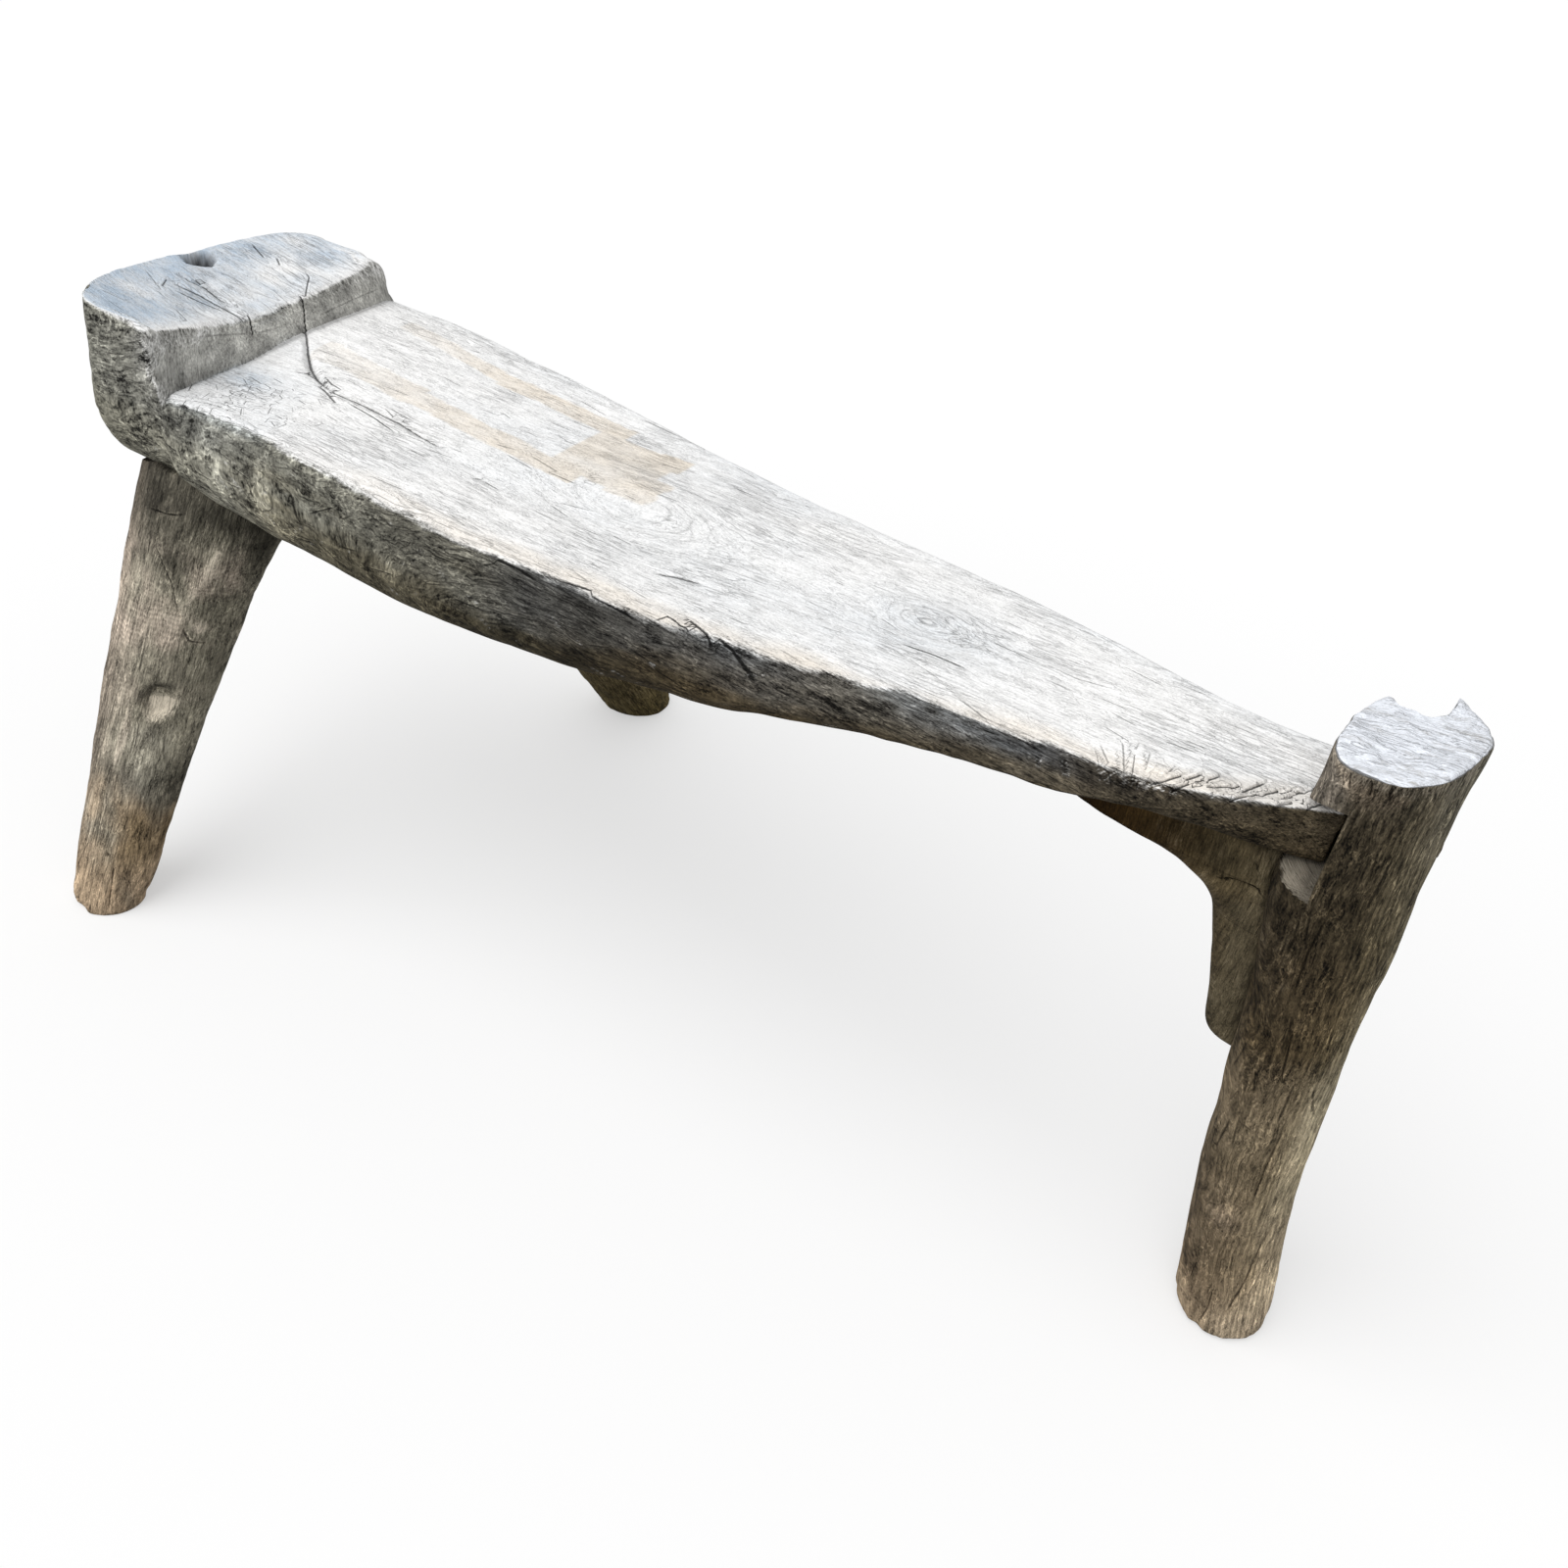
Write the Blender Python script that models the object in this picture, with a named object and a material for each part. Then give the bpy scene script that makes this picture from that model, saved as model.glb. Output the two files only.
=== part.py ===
"""A hewn wooden bench on three supports: two splayed legs at the head and a housed post at the foot.

Bench axes: +X runs along the seat from the headrest to the foot, +Y to the back, +Z up. Metres.
The riser of the headrest stands at X = 0 while the pieces are made; at the end the whole bench is
set down with its origin on the floor, under the middle of its outline.
"""
import math

import bmesh
import bpy
from mathutils import Vector

# Clearance between pieces that touch, and at the blind end of a hole
FIT_GAP = 0.0004
BLIND_END_GAP = 0.0012

# Seat slab: plan, measured from the seat's straight axis
SEAT_HEIGHT = 0.460
SEAT_LENGTH = 0.900
SEAT_FRONT_AT_RISER = 0.127
SEAT_FRONT_BULGE = 0.148
SEAT_BULGE_FROM_RISER = 0.290
SEAT_FRONT_AT_SHOULDER = 0.105
SEAT_SHOULDER_FROM_END = 0.155
SEAT_FRONT_AT_END = 0.041
SEAT_BACK_AT_RISER = 0.127
SEAT_BACK_AT_BULGE = 0.110
SEAT_BACK_AT_MIDDLE = 0.080
SEAT_MIDDLE_FROM_RISER = 0.460
SEAT_BACK_AT_SHOULDER = 0.043
SEAT_BACK_AT_END = 0.033

# Seat slab: thickness and edges
SLAB_THICKNESS_AT_RISER = 0.108
SLAB_THICKNESS_AT_BULGE = 0.100
SLAB_THICKNESS_AT_MIDDLE = 0.074
SLAB_THICKNESS_AT_SHOULDER = 0.038
SLAB_THICKNESS_AT_END = 0.046
SLAB_ARRIS = 0.007
SLAB_END_CHAMFER = 0.005
BELLY_SQUARENESS = 4.4

# Headrest, left standing on the head end of the slab
HEADREST_DEPTH = 0.143
HEADREST_RISE = 0.036
HEADREST_DIP = 0.021
HEADREST_LIFT = 0.002
HEAD_END_BOW = 0.034
RISER_RUN = 0.007
HEAD_END_ROUNDING = 0.030
HEADREST_TOP_ROUNDING = 0.013
HEAD_NOTCH_RADIUS = 0.011
HEAD_NOTCH_DROP = 0.042

# Head legs: where each one's axis meets the seat plane's underside, and where its foot stands from there
FRONT_LEG_FROM_RISER = -0.024
FRONT_LEG_FROM_EDGE = 0.051
FRONT_LEG_FOOT_ALONG = -0.008
FRONT_LEG_FOOT_OUT = 0.168
FRONT_LEG_TOP_RADIUS = 0.060
FRONT_LEG_FOOT_RADIUS = 0.032
BACK_LEG_FROM_RISER = 0.120
BACK_LEG_FROM_EDGE = 0.034
BACK_LEG_FOOT_ALONG = 0.040
BACK_LEG_FOOT_OUT = 0.225
BACK_LEG_TOP_RADIUS = 0.049
BACK_LEG_FOOT_RADIUS = 0.040
LEG_FOOT_ROUNDING = 0.004

# How far a natural pole is out of round, as a share of its radius, and how fast that turns along it
POLE_UNEVENNESS = 0.02
POLE_TWIST = 9.0

# Round tenons of the legs and the knee
TENON_RADIUS = 0.019
TENON_LENGTH = 0.040
KNEE_TENON_LENGTH = 0.022
KNEE_TENON_FROM_POST = 0.062

# Foot post, an oval pole
POST_ABOVE_SEAT = 0.055
POST_SETBACK = 0.019
POST_ASIDE = 0.022
POST_FOOT_ALONG = 0.052
POST_FOOT_OUT = 0.022
POST_TOP_HALF_WIDTH = 0.040
POST_MIDDLE_HALF_WIDTH = 0.037
POST_FOOT_HALF_WIDTH = 0.033
POST_BOW = 0.015
POST_TOP_HALF_DEPTH = 0.058
POST_MIDDLE_HALF_DEPTH = 0.052
POST_FOOT_HALF_DEPTH = 0.040
POST_FOOT_ROUNDING = 0.007
POST_SCOOP_RADIUS = 0.024
POST_SCOOP_DEPTH = 0.022
POST_SCOOP_DROP = 0.050

# Knee between the seat and the post
KNEE_DROP = 0.172
KNEE_STEM_WIDTH = 0.038
KNEE_END_WIDTH = 0.022
KNEE_ARM_REACH = 0.115
KNEE_THROAT_HEIGHT = 0.043
KNEE_ARM_THICKNESS = 0.020
KNEE_STEM_HALF_DEPTH = 0.034
KNEE_ARM_HALF_DEPTH = 0.040
KNEE_ASIDE = 0.006
KNEE_END_ROUNDING = 0.014
KNEE_SQUARENESS = 2.6

# Pegs that pin the post to the seat and the knee
PEG_RADIUS = 0.006
PEG_IN_SEAT = 0.040
PEG_IN_KNEE = 0.018
PEG_STAND_OUT = 0.003
KNEE_PEG_BELOW_SEAT = 0.150

# Facets
RING_STEPS = 22
LIMB_RINGS = 11
TOP_STEPS = 9
BELLY_STEPS = 15
SEAT_STEPS = 17

for old in list(bpy.data.objects):
    bpy.data.objects.remove(old, do_unlink=True)

bench = bpy.data.collections.new("wooden_bench")
cutters = bpy.data.collections.new("cutters")
bpy.context.scene.collection.children.link(bench)
bpy.context.scene.collection.children.link(cutters)

root = bpy.data.objects.new("bench_root", None)
bench.objects.link(root)


def wood(name, colour, roughness):
    """Bare wood of one colour."""
    material = bpy.data.materials.new(name)
    material.use_nodes = True
    shader = material.node_tree.nodes["Principled BSDF"]
    shader.inputs["Base Color"].default_value = (*colour, 1.0)
    shader.inputs["Roughness"].default_value = roughness
    shader.inputs["Metallic"].default_value = 0.0
    return material


bleached_wood = wood("bleached_wood", (0.62, 0.60, 0.57), 0.85)
grey_wood = wood("grey_wood", (0.17, 0.15, 0.125), 0.8)
brown_wood = wood("brown_wood", (0.105, 0.09, 0.065), 0.75)
peg_wood = wood("peg_wood", (0.07, 0.05, 0.035), 0.8)


def smooth_value(stops, x):
    """Smooth curve through (position, value) stops, flat beyond the first and the last."""
    if x <= stops[0][0]:
        return stops[0][1]
    if x >= stops[-1][0]:
        return stops[-1][1]
    slopes = []
    for i in range(len(stops)):
        before = stops[max(i - 1, 0)]
        after = stops[min(i + 1, len(stops) - 1)]
        slopes.append((after[1] - before[1]) / (after[0] - before[0]))
    for i in range(len(stops) - 1):
        x0, v0 = stops[i]
        x1, v1 = stops[i + 1]
        if x <= x1:
            span = x1 - x0
            t = (x - x0) / span
            start = (2 * t**3 - 3 * t**2 + 1) * v0 + (t**3 - 2 * t**2 + t) * span * slopes[i]
            end = (3 * t**2 - 2 * t**3) * v1 + (t**3 - t**2) * span * slopes[i + 1]
            return start + end


def add_object(name, mesh, material):
    """A named part of the bench."""
    part = bpy.data.objects.new(name, mesh)
    part.data.materials.append(material)
    part.parent = root
    bench.objects.link(part)
    return part


def add_cutter(name, mesh):
    """A tool solid that only serves Booleans."""
    tool = bpy.data.objects.new(name, mesh)
    tool.parent = root
    tool.hide_render = True
    tool.display_type = "WIRE"
    cutters.objects.link(tool)
    return tool


def combine(part, tool, operation):
    """Cut a tool out of a part, or join it on."""
    modifier = part.modifiers.new(tool.name, "BOOLEAN")
    modifier.operation = operation
    modifier.solver = "EXACT"
    modifier.object = tool


def loft(name, rings):
    """Closed skin through rings of equally many points, both ends capped.

    Its four-sided faces are split the same way everywhere, so a skin and its grown copy stay parallel.
    """
    shape = bmesh.new()
    rows = [[shape.verts.new(point) for point in ring] for ring in rings]
    count = len(rows[0])
    for lower, upper in zip(rows, rows[1:]):
        for i in range(count):
            j = (i + 1) % count
            shape.faces.new((lower[i], lower[j], upper[j], upper[i]))
    bmesh.ops.triangulate(shape, faces=shape.faces, quad_method="FIXED")
    shape.faces.new(rows[0])
    shape.faces.new(rows[-1])
    bmesh.ops.recalc_face_normals(shape, faces=shape.faces)
    mesh = bpy.data.meshes.new(name)
    shape.to_mesh(mesh)
    shape.free()
    mesh.shade_smooth()
    mesh.set_sharp_from_angle(angle=math.radians(35))
    return mesh


def rod(name, start, end, radius, steps=18):
    """Round bar from one point to another."""
    axis = end - start
    shape = bmesh.new()
    bmesh.ops.create_cone(
        shape, cap_ends=True, segments=steps, radius1=radius, radius2=radius, depth=axis.length
    )
    turn = Vector((0, 0, 1)).rotation_difference(axis.normalized()).to_matrix().to_4x4()
    bmesh.ops.transform(shape, matrix=turn, verts=shape.verts)
    bmesh.ops.translate(shape, vec=(start + end) / 2, verts=shape.verts)
    mesh = bpy.data.meshes.new(name)
    shape.to_mesh(mesh)
    shape.free()
    mesh.shade_smooth()
    mesh.set_sharp_from_angle(angle=math.radians(35))
    return mesh


def box(name, low, high):
    """Square block between two corners."""
    shape = bmesh.new()
    bmesh.ops.create_cube(shape, size=1.0)
    bmesh.ops.scale(shape, vec=high - low, verts=shape.verts)
    bmesh.ops.translate(shape, vec=(low + high) / 2, verts=shape.verts)
    mesh = bpy.data.meshes.new(name)
    shape.to_mesh(mesh)
    shape.free()
    return mesh


# Seat slab: curves of its plan and its thickness along the bench
front_stops = [
    (0.0, SEAT_FRONT_AT_RISER),
    (SEAT_BULGE_FROM_RISER, SEAT_FRONT_BULGE),
    (SEAT_LENGTH - SEAT_SHOULDER_FROM_END, SEAT_FRONT_AT_SHOULDER),
    (SEAT_LENGTH, SEAT_FRONT_AT_END),
]
back_stops = [
    (0.0, SEAT_BACK_AT_RISER),
    (SEAT_BULGE_FROM_RISER, SEAT_BACK_AT_BULGE),
    (SEAT_MIDDLE_FROM_RISER, SEAT_BACK_AT_MIDDLE),
    (SEAT_LENGTH - SEAT_SHOULDER_FROM_END, SEAT_BACK_AT_SHOULDER),
    (SEAT_LENGTH, SEAT_BACK_AT_END),
]
thickness_stops = [
    (0.0, SLAB_THICKNESS_AT_RISER),
    (SEAT_BULGE_FROM_RISER, SLAB_THICKNESS_AT_BULGE),
    (SEAT_MIDDLE_FROM_RISER, SLAB_THICKNESS_AT_MIDDLE),
    (SEAT_LENGTH - SEAT_SHOULDER_FROM_END, SLAB_THICKNESS_AT_SHOULDER),
    (SEAT_LENGTH, SLAB_THICKNESS_AT_END),
]


def rounding(distance, radius):
    """How far a quarter-round edge has drawn in, at a distance from the end of the piece."""
    if distance >= radius:
        return 0.0
    return radius - math.sqrt(radius**2 - (radius - distance) ** 2)


def slab_ring(x, headrest, grow, shift):
    """Section of the slab at X: flat or dished top, worn arrises, squarish rounded belly."""
    from_head = x + HEADREST_DEPTH
    drawn_in = rounding(from_head, HEAD_END_ROUNDING)
    end_chamfer = max(0.0, x - (SEAT_LENGTH - SLAB_END_CHAMFER))
    front = -smooth_value(front_stops, x) + drawn_in + end_chamfer - grow
    back = smooth_value(back_stops, x) - drawn_in - end_chamfer + grow
    bottom = SEAT_HEIGHT - smooth_value(thickness_stops, x) + drawn_in + end_chamfer - grow
    middle = (front + back) / 2
    half = (back - front) / 2

    def top_at(y):
        if not headrest:
            return SEAT_HEIGHT - end_chamfer + grow
        across = (y - middle) / half
        toward_end = min(max(-x / HEADREST_DEPTH, 0.0), 1.0)
        dip = HEADREST_DIP * (1 - across**2) * (1 - toward_end)
        rise = HEADREST_RISE + HEADREST_LIFT * toward_end - dip
        return SEAT_HEIGHT + rise - rounding(from_head, HEADREST_TOP_ROUNDING) + grow

    ring = []
    for i in range(TOP_STEPS):
        y = front + SLAB_ARRIS + (back - front - 2 * SLAB_ARRIS) * i / (TOP_STEPS - 1)
        ring.append(Vector((x, y, top_at(y))))
    bend = SLAB_ARRIS * (1 - math.sqrt(0.5))
    ring.append(Vector((x, back - bend, top_at(back) - bend)))
    for i in range(BELLY_STEPS):
        angle = math.pi * i / (BELLY_STEPS - 1)
        across = math.copysign(abs(math.cos(angle)) ** (2 / BELLY_SQUARENESS), math.cos(angle))
        down = abs(math.sin(angle)) ** (2 / BELLY_SQUARENESS)
        edge = top_at(back if across > 0 else front) - SLAB_ARRIS
        ring.append(Vector((x, middle + half * across, edge + (bottom - edge) * down)))
    ring.append(Vector((x, front + bend, top_at(front) - bend)))
    bow = HEAD_END_BOW * min(x, 0.0) / HEADREST_DEPTH
    for point in ring:
        point.x += shift - bow * ((point.y - middle) / half) ** 2
    return ring


def slab_mesh(name, grow=0.0):
    """The slab lofted from the head end, over the headrest and its riser, to the foot end."""
    head = -HEADREST_DEPTH
    flat_from = head + HEAD_END_ROUNDING
    head_steps = (0.004, 0.02, 0.08, 0.25, 0.55, 1.0)
    rings = [slab_ring(head + HEAD_END_ROUNDING * step, True, grow, -grow) for step in head_steps]
    rings.append(slab_ring((flat_from - RISER_RUN) / 2, True, grow, 0.0))
    rings.append(slab_ring(-RISER_RUN, True, grow, grow))
    seat_end = SEAT_LENGTH - SLAB_END_CHAMFER
    for i in range(SEAT_STEPS):
        rings.append(slab_ring(seat_end * i / (SEAT_STEPS - 1), False, grow, grow))
    rings.append(slab_ring(SEAT_LENGTH, False, grow, grow))
    return loft(name, rings)


def underside(x):
    """Height of the middle of the belly at X."""
    return SEAT_HEIGHT - smooth_value(thickness_stops, x)


seat_slab = add_object("seat_slab", slab_mesh("seat_slab"), bleached_wood)
slab_envelope = add_cutter("slab_envelope", slab_mesh("slab_envelope", FIT_GAP))

# Split out of the top edge of the head end, where a knot has fallen away
notch_x = -HEADREST_DEPTH
head_top = SEAT_HEIGHT + HEADREST_RISE + HEADREST_LIFT
head_notch = rod(
    "head_notch",
    Vector((notch_x, 0.0, head_top - HEAD_NOTCH_DROP)),
    Vector((notch_x, 0.0, head_top + HEAD_NOTCH_RADIUS)),
    HEAD_NOTCH_RADIUS,
)
combine(seat_slab, add_cutter("head_notch", head_notch), "DIFFERENCE")


def limb_rings(spine, half_widths, half_depths, foot_rounding):
    """Level oval rings up a natural pole, a little out of round, on a smooth spine."""
    low = spine[0].z
    high = spine[-1].z
    x_stops = [(point.z, point.x) for point in spine]
    y_stops = [(point.z, point.y) for point in spine]
    heights = [low + (high - low) * i / (LIMB_RINGS - 1) for i in range(LIMB_RINGS)]
    heights[1:1] = [low + foot_rounding * step for step in (0.15, 0.5, 1.0)]
    rings = []
    for z in heights:
        drawn_in = rounding(z - low, foot_rounding)
        centre = Vector((smooth_value(x_stops, z), smooth_value(y_stops, z), z))
        half_width = smooth_value(half_widths, z) - drawn_in
        half_depth = smooth_value(half_depths, z) - drawn_in
        ring = []
        for i in range(RING_STEPS):
            angle = 2 * math.pi * i / RING_STEPS
            uneven = 1 + POLE_UNEVENNESS * math.cos(3 * angle + POLE_TWIST * z)
            offset = Vector((half_width * math.cos(angle), half_depth * math.sin(angle), 0.0))
            ring.append(centre + offset * uneven)
        rings.append(ring)
    return rings


def tenoned(part, name, shoulder, direction, length, root_depth):
    """Round tenon on a part, and its blind mortise in the slab."""
    tip = shoulder + direction * length
    tenon = rod(name + "_tenon", shoulder - direction * root_depth, tip, TENON_RADIUS)
    combine(part, add_cutter(name + "_tenon", tenon), "UNION")
    mortise = rod(
        name + "_mortise",
        shoulder - direction * root_depth,
        tip + direction * BLIND_END_GAP,
        TENON_RADIUS + FIT_GAP,
    )
    combine(seat_slab, add_cutter(name + "_mortise", mortise), "DIFFERENCE")


def head_leg(name, top, foot, top_radius, foot_radius, material):
    """Splayed leg: a tapering pole cut to the belly of the slab, with a round tenon."""
    axis = (top - foot).normalized()
    buried = top + axis * top_radius / 2
    stops = [(foot.z, foot_radius), (top.z, top_radius)]
    rings = limb_rings([foot, (top + foot) / 2, buried], stops, stops, LEG_FOOT_ROUNDING)
    leg = add_object(name, loft(name, rings), material)
    combine(leg, slab_envelope, "DIFFERENCE")
    tenoned(leg, name, top, axis, TENON_LENGTH, 2 * TENON_RADIUS)
    return leg


front_leg_y = -smooth_value(front_stops, FRONT_LEG_FROM_RISER) + FRONT_LEG_FROM_EDGE
front_leg_top = Vector((FRONT_LEG_FROM_RISER, front_leg_y, underside(FRONT_LEG_FROM_RISER)))
front_leg_foot = Vector(
    (FRONT_LEG_FROM_RISER + FRONT_LEG_FOOT_ALONG, front_leg_y - FRONT_LEG_FOOT_OUT, 0.0)
)
front_leg = head_leg(
    "front_leg", front_leg_top, front_leg_foot, FRONT_LEG_TOP_RADIUS, FRONT_LEG_FOOT_RADIUS, grey_wood
)

back_leg_y = smooth_value(back_stops, BACK_LEG_FROM_RISER) - BACK_LEG_FROM_EDGE
back_leg_top = Vector((BACK_LEG_FROM_RISER, back_leg_y, underside(BACK_LEG_FROM_RISER)))
back_leg_foot = Vector((BACK_LEG_FROM_RISER + BACK_LEG_FOOT_ALONG, back_leg_y + BACK_LEG_FOOT_OUT, 0.0))
back_leg = head_leg(
    "back_leg", back_leg_top, back_leg_foot, BACK_LEG_TOP_RADIUS, BACK_LEG_FOOT_RADIUS, brown_wood
)

# Foot post: leaning oval pole, housed over the end of the seat
post_top = Vector((SEAT_LENGTH + POST_SETBACK, -POST_ASIDE, SEAT_HEIGHT + POST_ABOVE_SEAT))
post_foot = post_top + Vector((POST_FOOT_ALONG, -POST_FOOT_OUT, 0.0))
post_foot.z = 0.0
post_middle = (post_top + post_foot) / 2 - Vector((POST_BOW, 0.0, 0.0))
middle_z = post_middle.z
post_widths = [
    (0.0, POST_FOOT_HALF_WIDTH),
    (middle_z, POST_MIDDLE_HALF_WIDTH),
    (post_top.z, POST_TOP_HALF_WIDTH),
]
post_depths = [
    (0.0, POST_FOOT_HALF_DEPTH),
    (middle_z, POST_MIDDLE_HALF_DEPTH),
    (post_top.z, POST_TOP_HALF_DEPTH),
]


def post_mesh(name, grow=0.0):
    """The pole before it is cut."""
    widths = [(z, value + grow) for z, value in post_widths]
    depths = [(z, value + grow) for z, value in post_depths]
    return loft(name, limb_rings([post_foot, post_middle, post_top], widths, depths, POST_FOOT_ROUNDING))


foot_post = add_object("foot_post", post_mesh("foot_post"), brown_wood)
post_envelope = add_cutter("post_envelope", post_mesh("post_envelope", FIT_GAP))

# Housing: level ledge under the seat, plumb wall at its end, lip over its top
housing_mouth = post_top.x - POST_TOP_HALF_WIDTH
ledge_z = min(underside(housing_mouth), underside(SEAT_LENGTH)) - FIT_GAP
housing_reach = 2 * POST_TOP_HALF_DEPTH
housing_low = Vector((SEAT_LENGTH - housing_reach, -housing_reach, ledge_z))
housing_high = Vector((SEAT_LENGTH + FIT_GAP, housing_reach, SEAT_HEIGHT + FIT_GAP))
combine(foot_post, add_cutter("housing", box("housing", housing_low, housing_high)), "DIFFERENCE")

# Scoop worn into the back rim of the post's top
scoop_y = post_top.y + POST_TOP_HALF_DEPTH + POST_SCOOP_RADIUS - POST_SCOOP_DEPTH
scoop = rod(
    "scoop",
    Vector((post_top.x, scoop_y, post_top.z - POST_SCOOP_DROP)),
    Vector((post_top.x, scoop_y, post_top.z + POST_SCOOP_RADIUS)),
    POST_SCOOP_RADIUS,
)
combine(foot_post, add_cutter("scoop", scoop), "DIFFERENCE")


def post_centre(z):
    """Centre of the pole at a height."""
    spine = [post_foot, post_middle, post_top]
    x = smooth_value([(point.z, point.x) for point in spine], z)
    y = smooth_value([(point.z, point.y) for point in spine], z)
    return Vector((x, y, z))


def post_side(y, z, side):
    """X of the pole's surface at a height, on its foot side (+1) or its seat side (-1)."""
    centre = post_centre(z)
    across = (y - centre.y) / smooth_value(post_depths, z)
    return centre.x + side * smooth_value(post_widths, z) * math.sqrt(1 - across**2)


# Knee: stem against the post, arm along the underside of the seat, elliptical throat between them
knee_y = (SEAT_BACK_AT_END - SEAT_FRONT_AT_END) / 2 - KNEE_ASIDE
knee_high = SEAT_HEIGHT - SLAB_THICKNESS_AT_END
knee_low = knee_high - KNEE_DROP
arm_low = knee_high - KNEE_ARM_THICKNESS
throat_low = arm_low - KNEE_THROAT_HEIGHT


def knee_ring(z):
    """Level section of the knee, from its throat side into the line of the post."""
    flare = min(max((z - throat_low) / KNEE_THROAT_HEIGHT, 0.0), 1.0)
    drawn_in = rounding(z - knee_low, KNEE_END_ROUNDING)
    taper = min(max((z - knee_low) / (throat_low - knee_low), 0.0), 1.0)
    width = KNEE_END_WIDTH + (KNEE_STEM_WIDTH - KNEE_END_WIDTH) * taper
    left = post_side(knee_y, z, -1) - width + drawn_in
    left -= KNEE_ARM_REACH * (1 - math.sqrt(1 - flare**2))
    right = post_centre(z).x
    depth = KNEE_STEM_HALF_DEPTH + (KNEE_ARM_HALF_DEPTH - KNEE_STEM_HALF_DEPTH) * flare - drawn_in
    ring = []
    for i in range(RING_STEPS):
        angle = 2 * math.pi * i / RING_STEPS
        along = math.copysign(abs(math.cos(angle)) ** (2 / KNEE_SQUARENESS), math.cos(angle))
        aside = math.copysign(abs(math.sin(angle)) ** (2 / KNEE_SQUARENESS), math.sin(angle))
        ring.append(Vector(((left + right) / 2 + (right - left) / 2 * along, knee_y + depth * aside, z)))
    return ring


stem_low = knee_low + KNEE_END_ROUNDING
throat_steps = (0.3, 0.55, 0.75, 0.88, 0.96, 0.99, 1.0)
knee_heights = [knee_low + KNEE_END_ROUNDING * step for step in (0.02, 0.12, 0.4, 1.0)]
knee_heights += [stem_low + (throat_low - stem_low) * step for step in (0.35, 0.7, 1.0)]
knee_heights += [throat_low + KNEE_THROAT_HEIGHT * step for step in throat_steps]
knee_heights.append(knee_high + SLAB_THICKNESS_AT_END / 2)
foot_knee = add_object("foot_knee", loft("foot_knee", [knee_ring(z) for z in knee_heights]), brown_wood)
combine(foot_knee, slab_envelope, "DIFFERENCE")
combine(foot_knee, post_envelope, "DIFFERENCE")
knee_tenon_x = post_side(knee_y, arm_low, -1) - KNEE_TENON_FROM_POST
tenoned(
    foot_knee,
    "foot_knee",
    Vector((knee_tenon_x, knee_y, underside(knee_tenon_x))),
    Vector((0.0, 0.0, 1.0)),
    KNEE_TENON_LENGTH,
    KNEE_ARM_THICKNESS / 2,
)


def pinned(name, y, z, tip_x, held):
    """Level peg through the post into the piece that it holds, with a hole through both."""
    head = Vector((post_side(y, z, 1) + PEG_STAND_OUT, y, z))
    tip = Vector((tip_x, y, z))
    add_object(name, rod(name, tip, head, PEG_RADIUS, 14), peg_wood)
    hole = rod(
        name + "_hole",
        tip - Vector((BLIND_END_GAP, 0.0, 0.0)),
        head + Vector((PEG_RADIUS, 0.0, 0.0)),
        PEG_RADIUS + FIT_GAP,
        14,
    )
    tool = add_cutter(name + "_hole", hole)
    combine(foot_post, tool, "DIFFERENCE")
    combine(held, tool, "DIFFERENCE")


seat_peg_y = (SEAT_BACK_AT_END - SEAT_FRONT_AT_END) / 2
seat_peg_z = SEAT_HEIGHT - SLAB_THICKNESS_AT_END / 2
pinned("seat_peg", seat_peg_y, seat_peg_z, SEAT_LENGTH - PEG_IN_SEAT, seat_slab)
knee_peg_z = SEAT_HEIGHT - KNEE_PEG_BELOW_SEAT
pinned("knee_peg", knee_y, knee_peg_z, post_side(knee_y, knee_peg_z, -1) - PEG_IN_KNEE, foot_knee)

# Set the bench down: origin on the floor, under the middle of its outline
bpy.context.view_layer.update()
depsgraph = bpy.context.evaluated_depsgraph_get()
corners = []
for part in bench.objects:
    if part.type == "MESH":
        finished = part.evaluated_get(depsgraph)
        corners += [finished.matrix_world @ vertex.co for vertex in finished.data.vertices]
middle_x = (min(c.x for c in corners) + max(c.x for c in corners)) / 2
middle_y = (min(c.y for c in corners) + max(c.y for c in corners)) / 2
root.location = (-middle_x, -middle_y, -min(c.z for c in corners))
bpy.context.view_layer.update()
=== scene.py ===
"""Looks of the hewn bench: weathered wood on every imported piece, with the floor, the light and the camera.

Pieces are worked out on the bench's own axes: X along the seat from the foot of the headrest's riser,
Y to the back from the seat's straight axis, Z up from the floor. Metres.
"""
import math

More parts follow.
